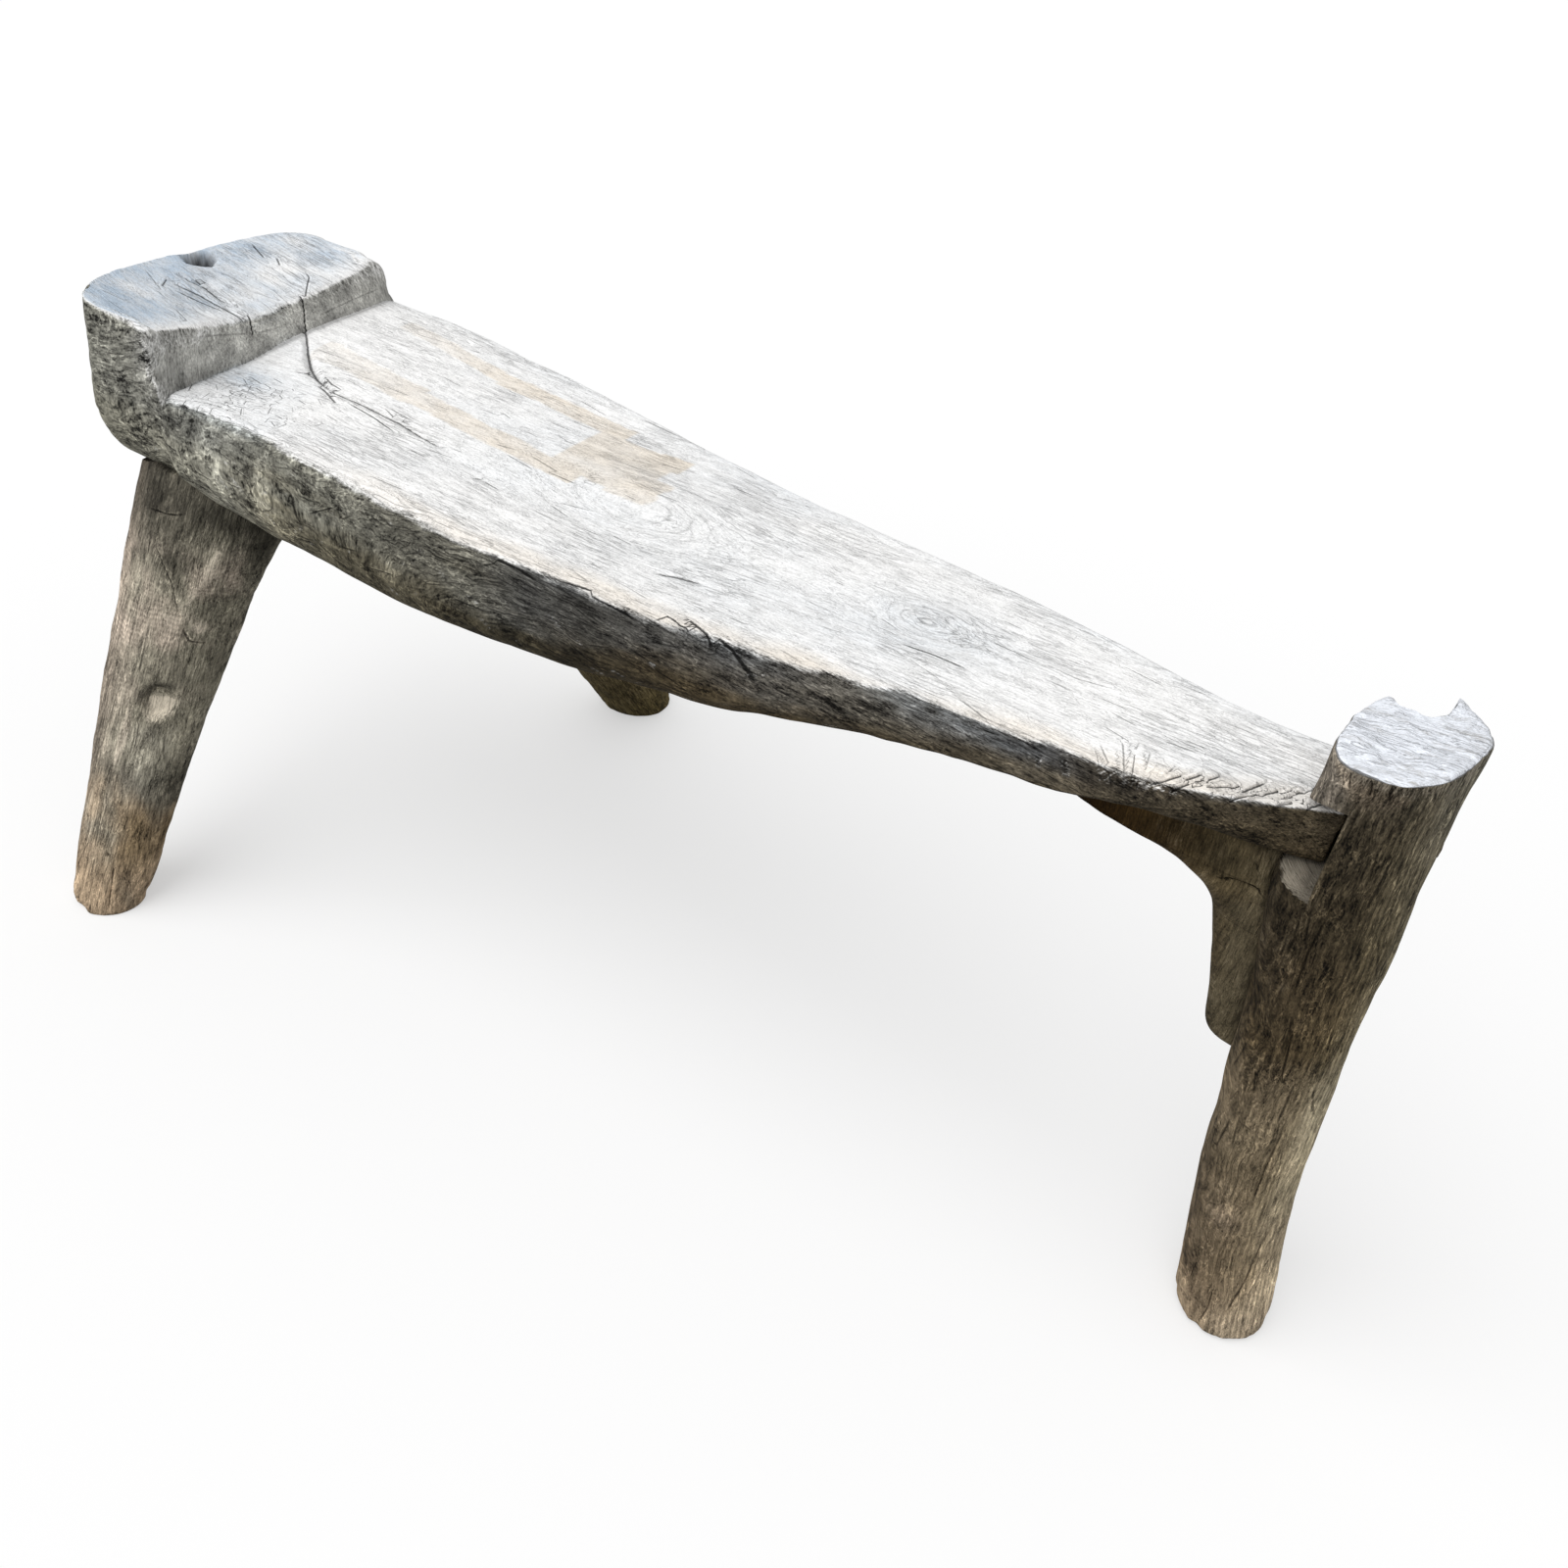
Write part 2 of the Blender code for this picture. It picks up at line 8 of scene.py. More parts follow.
import bpy
import numpy as np
from mathutils import Matrix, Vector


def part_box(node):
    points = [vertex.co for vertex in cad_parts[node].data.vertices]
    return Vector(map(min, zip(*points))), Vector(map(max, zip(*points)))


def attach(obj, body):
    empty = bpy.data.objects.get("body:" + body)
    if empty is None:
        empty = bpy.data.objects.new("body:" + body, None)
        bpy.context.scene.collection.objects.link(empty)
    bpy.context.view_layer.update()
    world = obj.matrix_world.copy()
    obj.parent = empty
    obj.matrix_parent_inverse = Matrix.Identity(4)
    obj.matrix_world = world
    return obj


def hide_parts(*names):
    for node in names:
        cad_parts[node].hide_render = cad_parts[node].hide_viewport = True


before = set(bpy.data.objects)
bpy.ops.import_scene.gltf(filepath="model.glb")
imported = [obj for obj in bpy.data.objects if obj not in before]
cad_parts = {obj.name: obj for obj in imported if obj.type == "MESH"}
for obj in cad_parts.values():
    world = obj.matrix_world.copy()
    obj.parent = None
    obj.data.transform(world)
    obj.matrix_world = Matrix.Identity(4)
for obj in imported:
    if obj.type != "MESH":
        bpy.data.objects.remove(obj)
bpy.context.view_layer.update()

# Seat plank with its headrest
# One plank hewn from a split log, thick at the head and thin at the foot, the headrest left standing on it.
# Bare hardwood: the top is bleached and worn by sitting, the sides are dark, and cracks follow the grain.
SEAT_LENGTH = 0.900
SEAT_HEIGHT = 0.460
# Stops along X of both edges, the thickness, the squareness below and the radius of the upper arrises
FRONT_EDGE = [
    (0.0, 0.127), (0.290, 0.148), (0.450, 0.143), (0.540, 0.132), (0.650, 0.114), (0.745, 0.101),
    (0.800, 0.085), (0.900, 0.041),
]
BACK_EDGE = [
    (0.0, 0.134), (0.070, 0.136), (0.160, 0.1235), (0.290, 0.104), (0.370, 0.090), (0.470, 0.0775),
    (0.600, 0.0665), (0.745, 0.044), (0.820, 0.029), (0.900, 0.028),
]
THICKNESS = [
    (0.0, 0.109), (0.120, 0.112), (0.290, 0.101), (0.460, 0.076), (0.560, 0.0645), (0.640, 0.046),
    (0.745, 0.029), (0.900, 0.046),
]
SQUARENESS = [(0.0, 4.2), (0.40, 4.4), (0.56, 3.0), (0.66, 2.2), (0.77, 2.0), (0.84, 4.0), (0.90, 9.0)]
FRONT_ARRIS = [
    (-0.10, 0.008), (-0.02, 0.011), (0.05, 0.016), (0.10, 0.014), (0.15, 0.010), (0.30, 0.013),
    (0.45, 0.017), (0.60, 0.019), (0.75, 0.014), (0.84, 0.007), (0.90, 0.003),
]
BACK_ARRIS = [(-0.10, 0.018), (-0.02, 0.020), (0.01, 0.010), (0.40, 0.008), (0.90, 0.006)]
SEAT_PEG_ASIDE = 0.004
END_CHAMFER = 0.0015
HEADREST_DEPTH = 0.143
HEADREST_RISE = 0.036
HEADREST_DIP = 0.0155
HEADREST_LIFT = 0.002
HEADREST_RIM = 0.003
HEAD_END_BOW = 0.034
HEAD_END_LEAN = 0.012
HEAD_END_ROUNDING = 0.030
HEAD_BELLY_ROUNDING = 0.048
HEADREST_TOP_ROUNDING = 0.008
HEADREST_CORNER = 0.026
RISER_TOP_ROUNDING = 0.010
RISER_RUN = 0.011
RISER_ENDS = 0.4 * RISER_RUN
RISER_AT = -0.009
HEADREST_FRONT_LIFT = 0.005
HEADREST_BACK_DROP = 0.004
RIM_DIP_AT = 0.015
RIM_DIP_WIDTH = 0.022

peg_low, peg_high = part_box("seat_peg")
seat_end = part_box("seat_slab")[1].x
bench_origin = np.array([seat_end - SEAT_LENGTH, (peg_low.y + peg_high.y) / 2 + SEAT_PEG_ASIDE, 0.0])


def curve(stops, x):
    """Cubic through (position, value) stops, sloped at each by its neighbours, level beyond both ends."""
    at, value = np.array(stops, float).T
    last = len(at) - 1
    ahead = np.minimum(np.arange(last + 1) + 1, last)
    behind = np.maximum(np.arange(last + 1) - 1, 0)
    slope = (value[ahead] - value[behind]) / (at[ahead] - at[behind])
    x = np.clip(x, at[0], at[-1])
    i = np.clip(np.searchsorted(at, x, side="right") - 1, 0, last - 1)
    span = at[i + 1] - at[i]
    t = (x - at[i]) / span
    start = (2 * t**3 - 3 * t**2 + 1) * value[i] + (t**3 - 2 * t**2 + t) * span * slope[i]
    return start + (3 * t**2 - 2 * t**3) * value[i + 1] + (t**3 - t**2) * span * slope[i + 1]


def ramp(low, high, x):
    """S-curve from 0 at low to 1 at high, whichever of them is larger."""
    t = np.clip((x - low) / (high - low), 0, 1)
    return t * t * (3 - 2 * t)


def hump(x, at, width):
    """Bell curve: 1 at a place, and a little over a third of that at a width from it."""
    return np.exp(-(((x - at) / width) ** 2))


def rounding(distance, radius):
    """How far a quarter-round edge has drawn in, at a distance from the end of the piece."""
    left = np.clip(radius - distance, 0, radius)
    return radius - np.sqrt(radius**2 - left**2)


def noise(points, size, seed):
    """Random heights from -1 to 1 on the corners of cells of a size, blended between them by an s-curve."""
    cells = points / np.asarray(size, float)
    low = np.floor(cells)
    part = cells - low
    part = part * part * (3 - 2 * part)
    low = low.astype(np.int64)
    height = np.zeros(points.shape[:-1])
    for corner in np.ndindex(2, 2, 2):
        spot = low + np.array(corner)
        mixed = spot[..., 0] * 73856093 ^ spot[..., 1] * 19349663
        mixed = mixed ^ spot[..., 2] * 83492791 ^ seed * 2654435761
        mixed = (mixed ^ (mixed >> 13)) * 1274126177
        mixed = (mixed ^ (mixed >> 16)) & 0xFFFFFF
        share = np.where(corner, part, 1 - part)
        height += share[..., 0] * share[..., 1] * share[..., 2] * (mixed / 0x800000 - 1)
    return height


def rough(points, size, seed, layers=3):
    """Noise in layers, each half as coarse and half as high as the one before."""
    size = np.asarray(size, float)
    return sum(noise(points, size / 2**layer, seed + layer) / 2**layer for layer in range(layers))


def outward(points):
    """Unit normals of a grid of points: its steps along the rows crossed with its steps round the columns."""
    along = np.gradient(points, axis=0)
    around = np.roll(points, -1, axis=1) - np.roll(points, 1, axis=1)
    normal = np.cross(along, around)
    return normal / np.maximum(np.linalg.norm(normal, axis=-1, keepdims=True), 1e-12)


def beside(a, b, path):
    """Where points of the (a, b) plane lie by a broken line.

    Gives their distance from it, that distance signed by side, and the share of the line's length passed.
    """
    path = np.array(path, float)
    steps = np.diff(path, axis=0)
    lengths = np.linalg.norm(steps, axis=1)
    before = np.cumsum(lengths) - lengths
    nearest = np.full(np.broadcast(a, b).shape, np.inf)
    signed = np.zeros_like(nearest)
    passed = np.zeros_like(nearest)
    for start, step, length, done in zip(path[:-1], steps, lengths, before):
        off_a = a - start[0]
        off_b = b - start[1]
        t = np.clip((off_a * step[0] + off_b * step[1]) / length**2, 0, 1)
        away = np.hypot(off_a - t * step[0], off_b - t * step[1])
        closer = away < nearest
        nearest = np.where(closer, away, nearest)
        signed = np.where(closer, np.where(step[0] * off_b > step[1] * off_a, away, -away), signed)
        passed = np.where(closer, (done + t * length) / lengths.sum(), passed)
    return nearest, signed, passed


def groove(a, b, path, width):
    """1 on a broken line through points of the (a, b) plane, falling to 0 half a width away.

    The width tapers to a quarter at both ends of the line.
    """
    away, _, passed = beside(a, b, path)
    return 1 - ramp(0, 1, away / (width / 2 * (0.25 + 3 * passed * (1 - passed))))


CRACK_REACH = 0.006


def hairline(cracks, a, b, path, half_width, strength, mask):
    """Adds a fine crack to an array of offset, strength and half-width.

    The offset is signed, so that a crack finer than the grid still passes zero between two of its points.
    The strength fades towards both ends of the crack and at its reach beside it.
    """
    lows = np.min(path, axis=0) - CRACK_REACH
    highs = np.max(path, axis=0) + CRACK_REACH
    near = (a > lows[0]) & (a < highs[0]) & (b > lows[1]) & (b < highs[1])
    away, signed, passed = beside(a[near], b[near], path)
    shown = strength * ramp(CRACK_REACH, CRACK_REACH / 2, away)
    shown = shown * ramp(0, 0.2, passed) * ramp(1, 0.8, passed) * mask[near]
    old = cracks[near]
    new = np.stack([signed, shown, np.full_like(shown, half_width)], axis=-1)
    cracks[near] = np.where((shown > old[:, 1])[:, None], new, old)


def opened(cracks, dent, a, b, table, mask, line_share, strength, per_depth=math.inf):
    """Opens a table of cracks, (width, depth, path): adds their hairlines, returns the dents with theirs."""
    for width, depth, path in table:
        dent = np.maximum(dent, groove(a, b, path, width) * mask * depth)
        hairline(cracks, a, b, path, line_share * width, min(strength, per_depth * depth), mask)
    return dent


# One generator for all that lies by chance, drawn on from piece to piece
scatter = np.random.default_rng(7)


def checks(cracks, a, b, count, low, high, mask, lengths, lean, half_widths, strengths, upright=False):
    """Scatters short hairlines with the grain between two corners of the (a, b) plane, leaning by chance."""
    for _ in range(count):
        start = scatter.uniform(low, high)
        length = scatter.uniform(*lengths)
        aside = scatter.normal(*lean) * length
        end = start + ((aside, length) if upright else (length, aside))
        hairline(cracks, a, b, [start, end], scatter.uniform(*half_widths), scatter.uniform(*strengths), mask)


def tinted(stops, at):
    """Colours between (position, colour) stops, blended evenly."""
    places = [place for place, _ in stops]
    return np.stack([np.interp(at, places, [colour[i] for _, colour in stops]) for i in range(3)], axis=-1)


def blended(colours, other, share):
    """Colours mixed with another colour by a share at every point."""
    return colours + (np.asarray(other) - colours) * np.clip(share, 0, 1)[..., None]


def with_rings(colours, rings):
    """Colours with how much the growth rings show at every point as their fourth value."""
    return np.concatenate([colours, (np.zeros(colours.shape[:-1]) + rings)[..., None]], axis=-1)


def skin(name, points, grain, tint, wear, material, node, slot, calm=0.0, cracks=None):
    """Closed mesh over a grid: rows along the piece, columns round it, and a fan to the middle at both ends.

    With the points go the grain (along, across, ring), the tint (dark wood's colour, how much its rings
    show), the wear (bleach with some painted light, soiling with painted shade, warmth, coolness), how calm
    the figure of the wood is, and fine cracks.
    """
    rows, columns, _ = points.shape
    spot = np.arange(rows * columns).reshape(rows, columns)
    next_spot = np.roll(spot, -1, axis=1)
    quads = np.stack([spot[:-1], spot[1:], next_spot[1:], next_spot[:-1]], axis=-1).reshape(-1, 4)
    first_middle = np.full(columns, rows * columns)
    first_fan = np.stack([first_middle, spot[0], next_spot[0]], axis=-1)
    last_fan = np.stack([first_middle + 1, next_spot[-1], spot[-1]], axis=-1)

    def with_middles(values):
        middles = values[[0, -1]].mean(axis=1)
        return np.concatenate([values.reshape(-1, values.shape[-1]), middles])

    mesh = bpy.data.meshes.new(name)
    places = with_middles(points) + bench_origin
    mesh.from_pydata(places.tolist(), [], quads.tolist() + first_fan.tolist() + last_fan.tolist())
    for layer_name, kind, field, values in (
        ("grain", "FLOAT_VECTOR", "vector", grain),
        ("tint", "FLOAT_COLOR", "color", tint),
        ("wear", "FLOAT_COLOR", "color", wear),
        ("calm", "FLOAT", "value", (np.zeros((rows, columns)) + calm)[..., None]),
        ("crack", "FLOAT_VECTOR", "vector", np.zeros_like(points) if cracks is None else cracks),
    ):
        values = with_middles(values)
        if field == "color":
            values = np.clip(values, 0, 1)
        layer = mesh.attributes.new(layer_name, kind, "POINT")
        layer.data.foreach_set(field, values.astype(np.float32).ravel())
    mesh.shade_smooth()
    mesh.materials.append(material)
    piece = bpy.data.objects.new(name, mesh)
    bpy.context.scene.collection.objects.link(piece)
    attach(piece, "root")
    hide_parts(node)


class Shade:
    """A socket of a material with arithmetic on it: each operator adds the Math node that it needs."""

    def __init__(self, tree, socket=None):
        self.tree = tree
        self.socket = socket

    def node(self, kind, settings=(), inputs=()):
        """Adds a node, sets its settings, fills its inputs with values or links, and returns its outputs."""
        made = self.tree.nodes.new(kind)
        for name, value in dict(settings).items():
            setattr(made, name, value)
        for name, value in dict(inputs).items():
            if isinstance(value, Shade):
                self.tree.links.new(value.socket, made.inputs[name])
            else:
                made.inputs[name].default_value = value
        return [Shade(self.tree, output) for output in made.outputs]

    def math(self, operation, first, second=0.0):
        return self.node("ShaderNodeMath", {"operation": operation}, {0: first, 1: second})[0]

    def __add__(self, other):
        return self.math("ADD", self, other)

    def __radd__(self, other):
        return self.math("ADD", other, self)

    def __sub__(self, other):
        return self.math("SUBTRACT", self, other)

    def __rsub__(self, other):
        return self.math("SUBTRACT", other, self)

    def __mul__(self, other):
        return self.math("MULTIPLY", self, other)

    def __rmul__(self, other):
        return self.math("MULTIPLY", other, self)

    def __abs__(self):
        return self.math("ABSOLUTE", self)

    def rise(self, low, high):
        """S-curve from 0 at low to 1 at high."""
        settings = {"interpolation_type": "SMOOTHSTEP"}
        inputs = {"Value": self, "From Min": low, "From Max": high}
        return self.node("ShaderNodeMapRange", settings, inputs)[0]

    def scaled(self, along, across, ring):
        """This vector, stretched by three factors."""
        settings = {"operation": "MULTIPLY"}
        return self.node("ShaderNodeVectorMath", settings, {0: self, 1: (along, across, ring)})[0]

    def lines(self, width):
        """Thin curved lines: 1 where noise at this vector passes its middle, 0 beyond a width from it."""
        return 1 - abs(self.cloud(1.5) - 0.5).rise(0.3 * width, width)

    def cloud(self, detail, roughness=0.55):
        """Noise from 0 to 1 at this vector."""
        inputs = {"Vector": self, "Scale": 1.0, "Detail": detail, "Roughness": roughness}
        return self.node("ShaderNodeTexNoise", {}, inputs)[0]

    def mixed(self, other, share, blend="MIX"):
        """This colour mixed with another by a share."""
        settings = {"data_type": "RGBA", "blend_type": blend, "clamp_factor": True}
        return self.node("ShaderNodeMix", settings, {0: share, 6: self, 7: other})[2]


WAVE_LENGTH = 0.0050
RIPPLE_LENGTH = 0.0040


def weathered_wood(name, pale, warm, cool, curl=0.004, flecks=0.8, ripple=0.0, waves=0.0):
    """Bare old wood: its own tint, paler where it is bleached, streaked and flecked along its grain.

    Clouds drawn out along a grain that wanders sideways give fibres, mottling, dark strokes, light flecks
    and fine drying cracks, each with a raised ridge beside it that is painted lighter as a highlight.
    They shade the colour, break up the borders of the wear and roughen the surface.
    Rings show where the distance from the pith passes whole steps.
    """
    material = bpy.data.materials.new(name)
    material.use_nodes = True
    tree = material.node_tree
    shader = tree.nodes["Principled BSDF"]
    start = Shade(tree)

    def stored(attribute):
        return start.node("ShaderNodeAttribute", {"attribute_name": attribute})

    grain = stored("grain")[1]
    tint = stored("tint")
    wear = stored("wear")
    # The wear's second channel carries soiling together with painted shade
    bleach, dirt_and_shade, warmth = start.node("ShaderNodeSeparateColor", {}, {0: wear[0]})
    coolness = wear[3]
    along, across, ring = start.node("ShaderNodeSeparateXYZ", {}, {0: grain})
    calm = stored("calm")[2]
    crack = stored("crack")[1]
    aside_crack, crack_strength, crack_width = start.node("ShaderNodeSeparateXYZ", {}, {0: crack})

    sway = (grain.scaled(28, 60, 60).cloud(2) - 0.5) * curl
    aside = start.node("ShaderNodeCombineXYZ", {}, {1: sway, 2: sway})[0]
    wander = start.node("ShaderNodeVectorMath", {"operation": "ADD"}, {0: grain, 1: aside})[0]
    fibres = wander.scaled(70, 520, 520).cloud(3, 0.72) - 0.5
    mottle = wander.scaled(34, 75, 75).cloud(6, 0.74) - 0.5
    clouds = grain.scaled(10, 18, 18).cloud(2) - 0.5
    specks = grain.scaled(520, 1100, 1100).cloud(1) - 0.5
    strokes = wander.scaled(60, 560, 560).cloud(2).rise(0.62, 0.66)
    splinters = wander.scaled(85, 690, 690).cloud(2).rise(0.61, 0.66)
    curls = wander.scaled(120, 330, 330).lines(0.07) * grain.scaled(45, 95, 95).cloud(3).rise(0.46, 0.60)
    scores = wander.scaled(22, 210, 210).lines(0.03) * clouds.rise(-0.04, 0.06)
    turns = ring * 165 + mottle * 1.1
    ring_lines = (1 - abs(turns.math("FRACT", turns) - 0.5).rise(0.0, 0.15)) * tint[3]

    jagged = aside_crack + (grain.scaled(350, 800, 800).cloud(2) - 0.5) * crack_width * 1.5
    cracked = (1 - abs(jagged).rise(crack_width * 0.5, crack_width)) * crack_strength
    # A raised ridge beside each crack, its colour painted lighter as a highlight
    ridge_and_highlight = (1 - abs(jagged - crack_width * 2.4).rise(crack_width * 0.5, crack_width * 1.5)) * crack_strength

    border = bleach * (1 - bleach) * 3.4 + 0.12
    bleached = bleach + (fibres * 0.8 + mottle * 1.3 + clouds * 0.5 + specks * 0.5) * border
    bleached = bleached.rise(0.05, 0.95)
    wood = tint[0].mixed((*pale, 1), bleached)
    wood = wood.mixed((*warm, 1), warmth * (1 + mottle * 1.2))
    wood = wood.mixed((*cool, 1), coolness * (1 + mottle * 2.4 + fibres * 1.2))
    dark_share = 1 - bleached
    figure = (fibres * 3.5 + mottle * 3.8 + clouds * 1.4 + specks * 1.8) * dark_share * (1 - calm * 0.7)
    tone = 1 + figure + (fibres * 0.75 + mottle * 0.36 + specks * 0.6) * bleached
    lively = 1 - calm
    tone = tone * (1 - strokes * (dark_share * 0.32 + 0.09) * lively)
    tone = tone * (1 + curls * dark_share * lively * flecks)
    tone = tone * (1 + splinters * dark_share * (1 - calm * 0.6) * 0.55)
    tone = tone * (1 - scores * (dark_share * 0.25 + 0.22) * lively) * (1 - ring_lines * 0.36)
    if waves:
        swing = across * (math.tau / WAVE_LENGTH) + mottle * 7 + clouds * 9
        tone = tone * (1 + swing.math("SINE", swing) * dark_share * waves)
    if ripple:
        swing = along * (math.tau / RIPPLE_LENGTH) + clouds * 40 + mottle * 9
        tone = tone * (1 - swing.math("SINE", swing) * warmth * ripple)
    # Painted highlight on the ridge beside each crack
    ridge_highlight = 1 + ridge_and_highlight * (dark_share * 0.35 + 0.10)
    tone = tone.math("MAXIMUM", tone * (1 - dirt_and_shade * 0.92) * (1 - cracked * 0.88) * ridge_highlight, 0.05)
    wood = wood.mixed(tone, 1.0, "MULTIPLY")
    relief = fibres + mottle * 1.3 + specks * 0.3 - scores * 0.8 - strokes * 0.4 + curls * 0.6
    height = relief * (1 - calm * 0.5) - cracked + ridge_and_highlight * 0.6
    bump = start.node("ShaderNodeBump", {}, {"Strength": 1.0, "Distance": 0.0008, "Height": height})[0]
    tree.links.new(wood.socket, shader.inputs["Base Color"])
    tree.links.new((0.92 - bleached * 0.06 - fibres * 0.15).socket, shader.inputs["Roughness"])
    tree.links.new(bump.socket, shader.inputs["Normal"])
    shader.inputs["Specular IOR Level"].default_value = 0.08
    return material


def plank_edges(x):
    """Front edge, back edge and belly of the plank at X, drawn in at the rounded head and chamfered foot."""
    chamfer = np.maximum(0, x - SEAT_LENGTH + END_CHAMFER)
    drawn_in = rounding(x + HEADREST_DEPTH, HEAD_END_ROUNDING) + chamfer
    front = drawn_in - curve(FRONT_EDGE, x)
    back = curve(BACK_EDGE, x) - drawn_in
    belly = SEAT_HEIGHT - curve(THICKNESS, x)
    belly = belly + rounding(x + HEADREST_DEPTH, HEAD_BELLY_ROUNDING) + chamfer
    return front, back, belly


def squared(share, x):
    """The other share of a squarish round: both shares, raised to its squareness, add up to 1."""
    squareness = curve(SQUARENESS, x)
    return np.clip(1 - np.abs(share) ** squareness, 0, 1) ** (1 / squareness)


def belly_height(x, y):
    """Height of the plank's underside."""
    front, back, belly = plank_edges(x)
    edge = SEAT_HEIGHT - BACK_ARRIS[-1][1]
    return edge + (belly - edge) * squared((2 * y - front - back) / (back - front), x)


# Rows from the middle of the head end over its rounding, the headrest, the riser and the seat to its end
head_turn = np.linspace(0, math.pi / 2, 14)
seat_rows = [
    np.full(10, -HEADREST_DEPTH),
    -HEADREST_DEPTH + HEAD_END_ROUNDING * (1 - np.cos(head_turn)),
    np.arange(HEAD_END_ROUNDING - HEADREST_DEPTH + 0.002, -1.3 * RISER_RUN, 0.002),
    np.linspace(-1.3 * RISER_RUN, RISER_ENDS, 30),
    np.linspace(RISER_ENDS, 0.120, 68)[1:],
    np.linspace(0.120, 0.700, 194)[1:],
    np.linspace(0.700, 0.870, 132)[1:],
    np.linspace(0.870, SEAT_LENGTH - END_CHAMFER, 11)[1:],
    SEAT_LENGTH - END_CHAMFER * np.array([0.66, 0.33, 0.0]),
    np.full(6, SEAT_LENGTH),
]
full_rows = sum(len(rows) for rows in seat_rows[1:-1])
shrink = np.concatenate([np.linspace(0.06, 0.94, 10), np.ones(full_rows), np.linspace(0.9, 0.1, 6)])[:, None]
x = np.concatenate(seat_rows)[:, None]
front, back, belly = plank_edges(x)
middle = (front + back) / 2
half = (back - front) / 2
ragged = rough(np.stack([x, 0 * x, 0 * x], axis=-1), 0.05, 3)
front_arris = np.minimum(curve(FRONT_ARRIS, x) * (1 + 0.30 * ragged), 0.6 * half)
back_arris = np.minimum(curve(BACK_ARRIS, x) * (1 - 0.20 * ragged), 0.6 * half)


def top_height(y):
    """The level seat, and over the headrest its dished top, joined by the riser's s-curve."""
    toward_end = np.clip(-x / HEADREST_DEPTH, 0, 1)
    aside = (y - middle) / half
    dip = HEADREST_DIP * (1 - aside**2) * (1 - toward_end)
    rise = HEADREST_RISE + HEADREST_LIFT * toward_end - dip
    rim_dip = hump(y, RIM_DIP_AT, RIM_DIP_WIDTH)
    rise = rise + HEADREST_RIM * ramp(0.35, 0.85, toward_end) * (1 - 0.9 * rim_dip)
    rise = rise + HEADREST_FRONT_LIFT * ramp(-0.2, -1.0, aside)
    rise = rise - HEADREST_BACK_DROP * toward_end * ramp(-0.2, 0.6, aside)
    rise = rise - rounding(x + HEADREST_DEPTH, HEADREST_TOP_ROUNDING)
    rise = rise - 0.5 * rounding(np.maximum(-x - 0.8 * RISER_RUN, 0), RISER_TOP_ROUNDING)
    return SEAT_HEIGHT + rise * ramp(0.15 * RISER_RUN, -0.85 * RISER_RUN, x)


# Columns from the front arris over the top, down the back, under the belly and up the front
corner = 0.5 ** (1 / curve(SQUARENESS, x))
back_turn = np.linspace(0, math.pi / 2, 9)[1:]
back_drop = np.linspace(0, 1, 13)[1:] * corner
under_share = np.linspace(1, -1, 22)[1:-1] * corner
front_drop = np.linspace(1, 0, 31)[:-1] * corner
front_turn = np.linspace(math.pi / 2, 0, 17)[:-1]
edge_back = top_height(back) - back_arris
edge_front = top_height(front) - front_arris
edge_under = edge_back + (edge_front - edge_back) * (0.5 - under_share / corner / 2)
top_y = front + front_arris + (back - back_arris - front - front_arris) * np.linspace(0, 1, 100)
ring_y = [
    top_y,
    back - back_arris + back_arris * np.sin(back_turn),
    middle + half * squared(back_drop, x),
    middle + half * under_share,
    middle - half * squared(front_drop, x),
    front + front_arris - front_arris * np.sin(front_turn),
]
ring_z = [
    top_height(top_y),
    edge_back + back_arris * np.cos(back_turn),
    edge_back + (belly - edge_back) * back_drop,
    edge_under + (belly - edge_under) * squared(under_share, x),
    edge_front + (belly - edge_front) * front_drop,
    edge_front + front_arris * np.cos(front_turn),
]
y = middle + (np.concatenate(ring_y, axis=1) - middle) * shrink
z_middle = (SEAT_HEIGHT + belly) / 2
z = z_middle + (np.concatenate(ring_z, axis=1) - z_middle) * shrink
side_share = (y - middle) / half
corner_size = np.where(side_share > 0, 1.0, 0.75) * HEADREST_CORNER
above_seat = ramp(SEAT_HEIGHT - 0.004, SEAT_HEIGHT + 0.010, z)
corner_draw = rounding(np.maximum(RISER_ENDS - x, 0), corner_size) * above_seat
y = y - np.sign(side_share) * np.abs(side_share) ** 5 * corner_draw * (x < RISER_ENDS)
toward_end = np.clip(-x / HEADREST_DEPTH, 0, 1)
end_share = np.abs(y - middle) / half
bow = HEAD_END_BOW * toward_end * (0.55 * end_share**2 + 0.50 * end_share**6)
lean = HEAD_END_LEAN * toward_end**2 * (ramp(0.42, 0.50, z) + 0.6 * ramp(0.40, 0.36, z))
riser_shift = RISER_AT * ramp(-0.08, -0.025, x) * ramp(0.07, 0.015, x)
plank = np.stack([x + bow + lean + riser_shift, y, z], axis=-1)

# Worn facets of the top: the corner before the riser, and the band along the front edge towards the foot
CREASE_START = (0.116, -0.131)
CREASE_AWAY = (-0.944, -0.330)
FACET_SLOPE = 0.075
WORN_BAND = [(0.40, 0.0), (0.52, 0.005), (0.74, 0.007), (0.84, 0.003), (0.90, 0.0)]
seat_only = ramp(RISER_AT - 0.002, RISER_AT + 0.004, plank[..., 0])
from_crease = (plank[..., 0] - CREASE_START[0]) * CREASE_AWAY[0] + (y - CREASE_START[1]) * CREASE_AWAY[1]
facet = FACET_SLOPE * np.maximum(from_crease, 0) * ramp(0.03, -0.05, y)
worn_band = curve(WORN_BAND, x) * ramp(0.040, 0.0, y - front) ** 1.5
plank[..., 2] -= (facet + worn_band) * seat_only * ramp(belly, SEAT_HEIGHT - 0.02, z)

normal = outward(plank)
on_top = ramp(0.35, 0.8, normal[..., 2])
on_front = ramp(0.3, 0.7, -normal[..., 1])
px, py, pz = np.moveaxis(plank, -1, 0)

